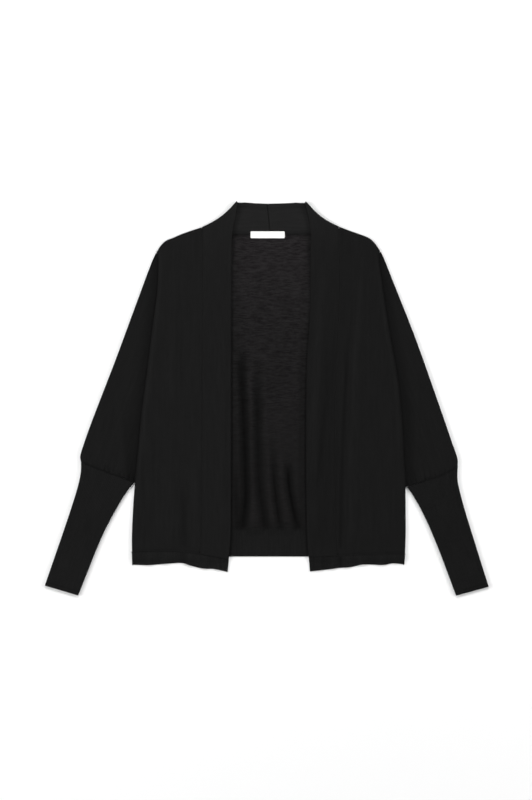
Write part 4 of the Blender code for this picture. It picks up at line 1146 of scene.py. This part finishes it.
def yarn_material(name, dark, light):
    """A matt twist of a few plies, a little smoother than the knit."""
    material, tree = new_material(name)
    solid = add(tree, "ShaderNodeTexCoord").outputs["Object"]
    plies = add(tree, "ShaderNodeTexNoise", {"Vector": solid, "Scale": 1500.0, "Detail": 2.0}).outputs["Fac"]
    dyed = add(tree, "ShaderNodeMix", {0: plies, 6: linear(dark), 7: linear(light)}, data_type="RGBA")
    finish(tree, dyed.outputs[2], plies, 0.5, 0.1, 0.85, 0.05)
    return material


# Most seams are linked with a smooth, strong cotton. The front bands are linked on with the jersey's own
# yarn, so that their seams hardly show.
linking_yarn = yarn_material("black mercerised cotton yarn", "#0d0d0d", "#171717")
jersey_yarn = yarn_material("black viscose yarn", "#121212", "#1e1e1e")


def seam(name, route, cord_radius, yarn=linking_yarn):
    """A linked seam along points in the plan's own millimetres, as is its cord's radius."""
    mesh = bpy.data.meshes.new(name)
    points = (np.array(route) - CENTRE) * MM
    mesh.from_pydata(points.tolist(), [(i, i + 1) for i in range(len(points) - 1)], [])
    piece = put(name, mesh)
    worked(piece, chain, chain_inputs, {"Pitch": STITCH_PITCH * MM, "Yarn Radius": YARN_RADIUS * MM,
                                        "Cord Radius": cord_radius * MM, "Yarn": yarn})
    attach(piece, "root")
    return piece


def routed(plan, height):
    return np.column_stack((plan, np.broadcast_to(height, len(plan))))


along = np.linspace(0, 1, 160)
on_back = JERSEY + GAP / 2
for sign, wearer in SIDES:
    armhole = line(ARMHOLE[sign])(along)
    seam(wearer + "_armhole_seam", routed(armhole, JERSEY + GAP + JERSEY / 2), 0.7)
    seam(wearer + "_armhole_under_seam", routed(armhole, 0.62), 0.6)
    side = line(SIDE_SEAM[sign])(along) - (sign * UNDER_SIDE, 0)
    shoulder = line(SHOULDER[sign])(along) - (0, UNDER_SHOULDER)
    seam(wearer + "_side_seam", routed(side, on_back), 0.7)
    seam(wearer + "_shoulder_seam", routed(shoulder, on_back), 0.7)

    x = np.linspace(HEM_SEAM[sign][0][0], HEM_SEAM[sign][-1][0] + sign * 0.8, 200)
    hem_y = hem_seam_y[sign](x)
    hem_route = routed(pairs(x, hem_y), front_height(sign, x, hem_y) - 0.1)
    seam(wearer + "_front_hem_seam", hem_route, 0.6)

    down = np.linspace(0.01, 0.99, 220)
    plan = front_inner[sign](down) - (sign * GAP / 2, 0)
    band_route = routed(plan, front_height(sign, *plan.T) - 0.05)
    seam(wearer + "_band_seam", band_route, 0.62, yarn=jersey_yarn)

    neck = line(NECK[sign])(np.linspace(0.04, 1.0, 120))
    seam(wearer + "_neck_seam", routed(neck - (0, GAP / 2), JERSEY / 2), 0.5)
    seam(wearer + "_cuff_joint_seam", cuff_joint[sign], 0.85)

x = np.linspace(side_x[-1] + 1, side_x[1] - 1, 400)
plan = pairs(x, BACK_HEM_SEAM + GAP / 2)
seam("back_hem_seam", routed(plan, back_lift(*plan.T) + JERSEY / 2 + 0.1), 0.55)
behind = chord(NECK[1][-1], COLLAR_TOP[1][-1])(np.linspace(0.04, 0.985, 60))
seam("centre_back_seam", routed(behind, BAND / 2 + 0.35), 0.75)

# ---------------------------------------------------------------- floor, lights and camera
# A plain white studio floor of background paper, and four large soft lights, the strongest of them at
# the collar's side. The camera stands straight above, and a faint even light fills in from all round.
FLOOR_HALF = 4.0        # half a side of it, in metres
FLOOR_BELOW = 0.0003    # how far below the surface it is drawn, clear of the cloth
floor_mesh = bpy.data.meshes.new("studio_floor")
corners = [(x * FLOOR_HALF, y * FLOOR_HALF, -FLOOR_BELOW) for x, y in ((-1, -1), (1, -1), (1, 1), (-1, 1))]
floor_mesh.from_pydata(corners, [], [(0, 1, 2, 3)])
put("studio_floor", floor_mesh)
# The paper has no gloss at all.
paper, tree = new_material("matt white paper")
shader = tree.nodes["Principled BSDF"]
shader.inputs["Base Color"].default_value = linear("#f6f6f6")
shader.inputs["Roughness"].default_value = 1.0
shader.inputs["Specular IOR Level"].default_value = 0.0
floor_mesh.materials.append(paper)

world = bpy.data.worlds.new("studio")
world.use_nodes = True
background = world.node_tree.nodes["Background"]
background.inputs["Color"].default_value = (1.0, 1.0, 1.0, 1.0)
background.inputs["Strength"].default_value = 0.06
bpy.context.scene.world = world

Softbox = namedtuple("Softbox", "name place aim size power")
SOFTBOXES = (Softbox("collar_side", (0.0, 3.6, 3.4), (0.0, 0.1, 0.0), 2.0, 150.0),
             Softbox("hem_side", (0.0, -3.6, 4.6), (0.0, -0.3, 0.0), 2.2, 62.0),
             Softbox("right_side", (-3.8, 0.2, 2.2), (0.0, 0.0, 0.0), 1.6, 130.0),
             Softbox("left_side", (3.8, 0.2, 2.2), (0.0, 0.0, 0.0), 1.6, 100.0))
for box in SOFTBOXES:
    lamp = bpy.data.lights.new(box.name, "AREA")
    lamp.shape, lamp.size, lamp.energy = "SQUARE", box.size, box.power
    holder = put(box.name, lamp)
    holder.location = box.place
    holder.rotation_euler = (Vector(box.aim) - Vector(box.place)).to_track_quat("-Z", "Y").to_euler()

VIEW_HEIGHT = 1.4       # metres of the floor that the picture's height takes in
VIEW_LEVEL = 0.004      # height of the plane where it does so, half way up the cardigan
VIEW_CENTRE = ((-0.9, -1.6) - CENTRE[:2]) * MM
optics = bpy.data.cameras.new("camera")
optics.sensor_fit, optics.sensor_height, optics.lens = "VERTICAL", 24.0, 85.0
optics.clip_end = 50.0
camera = put("camera", optics)
camera.location = (*VIEW_CENTRE, optics.lens / optics.sensor_height * VIEW_HEIGHT + VIEW_LEVEL)
bpy.context.scene.camera = camera
bpy.context.scene.view_settings.view_transform = "Standard"
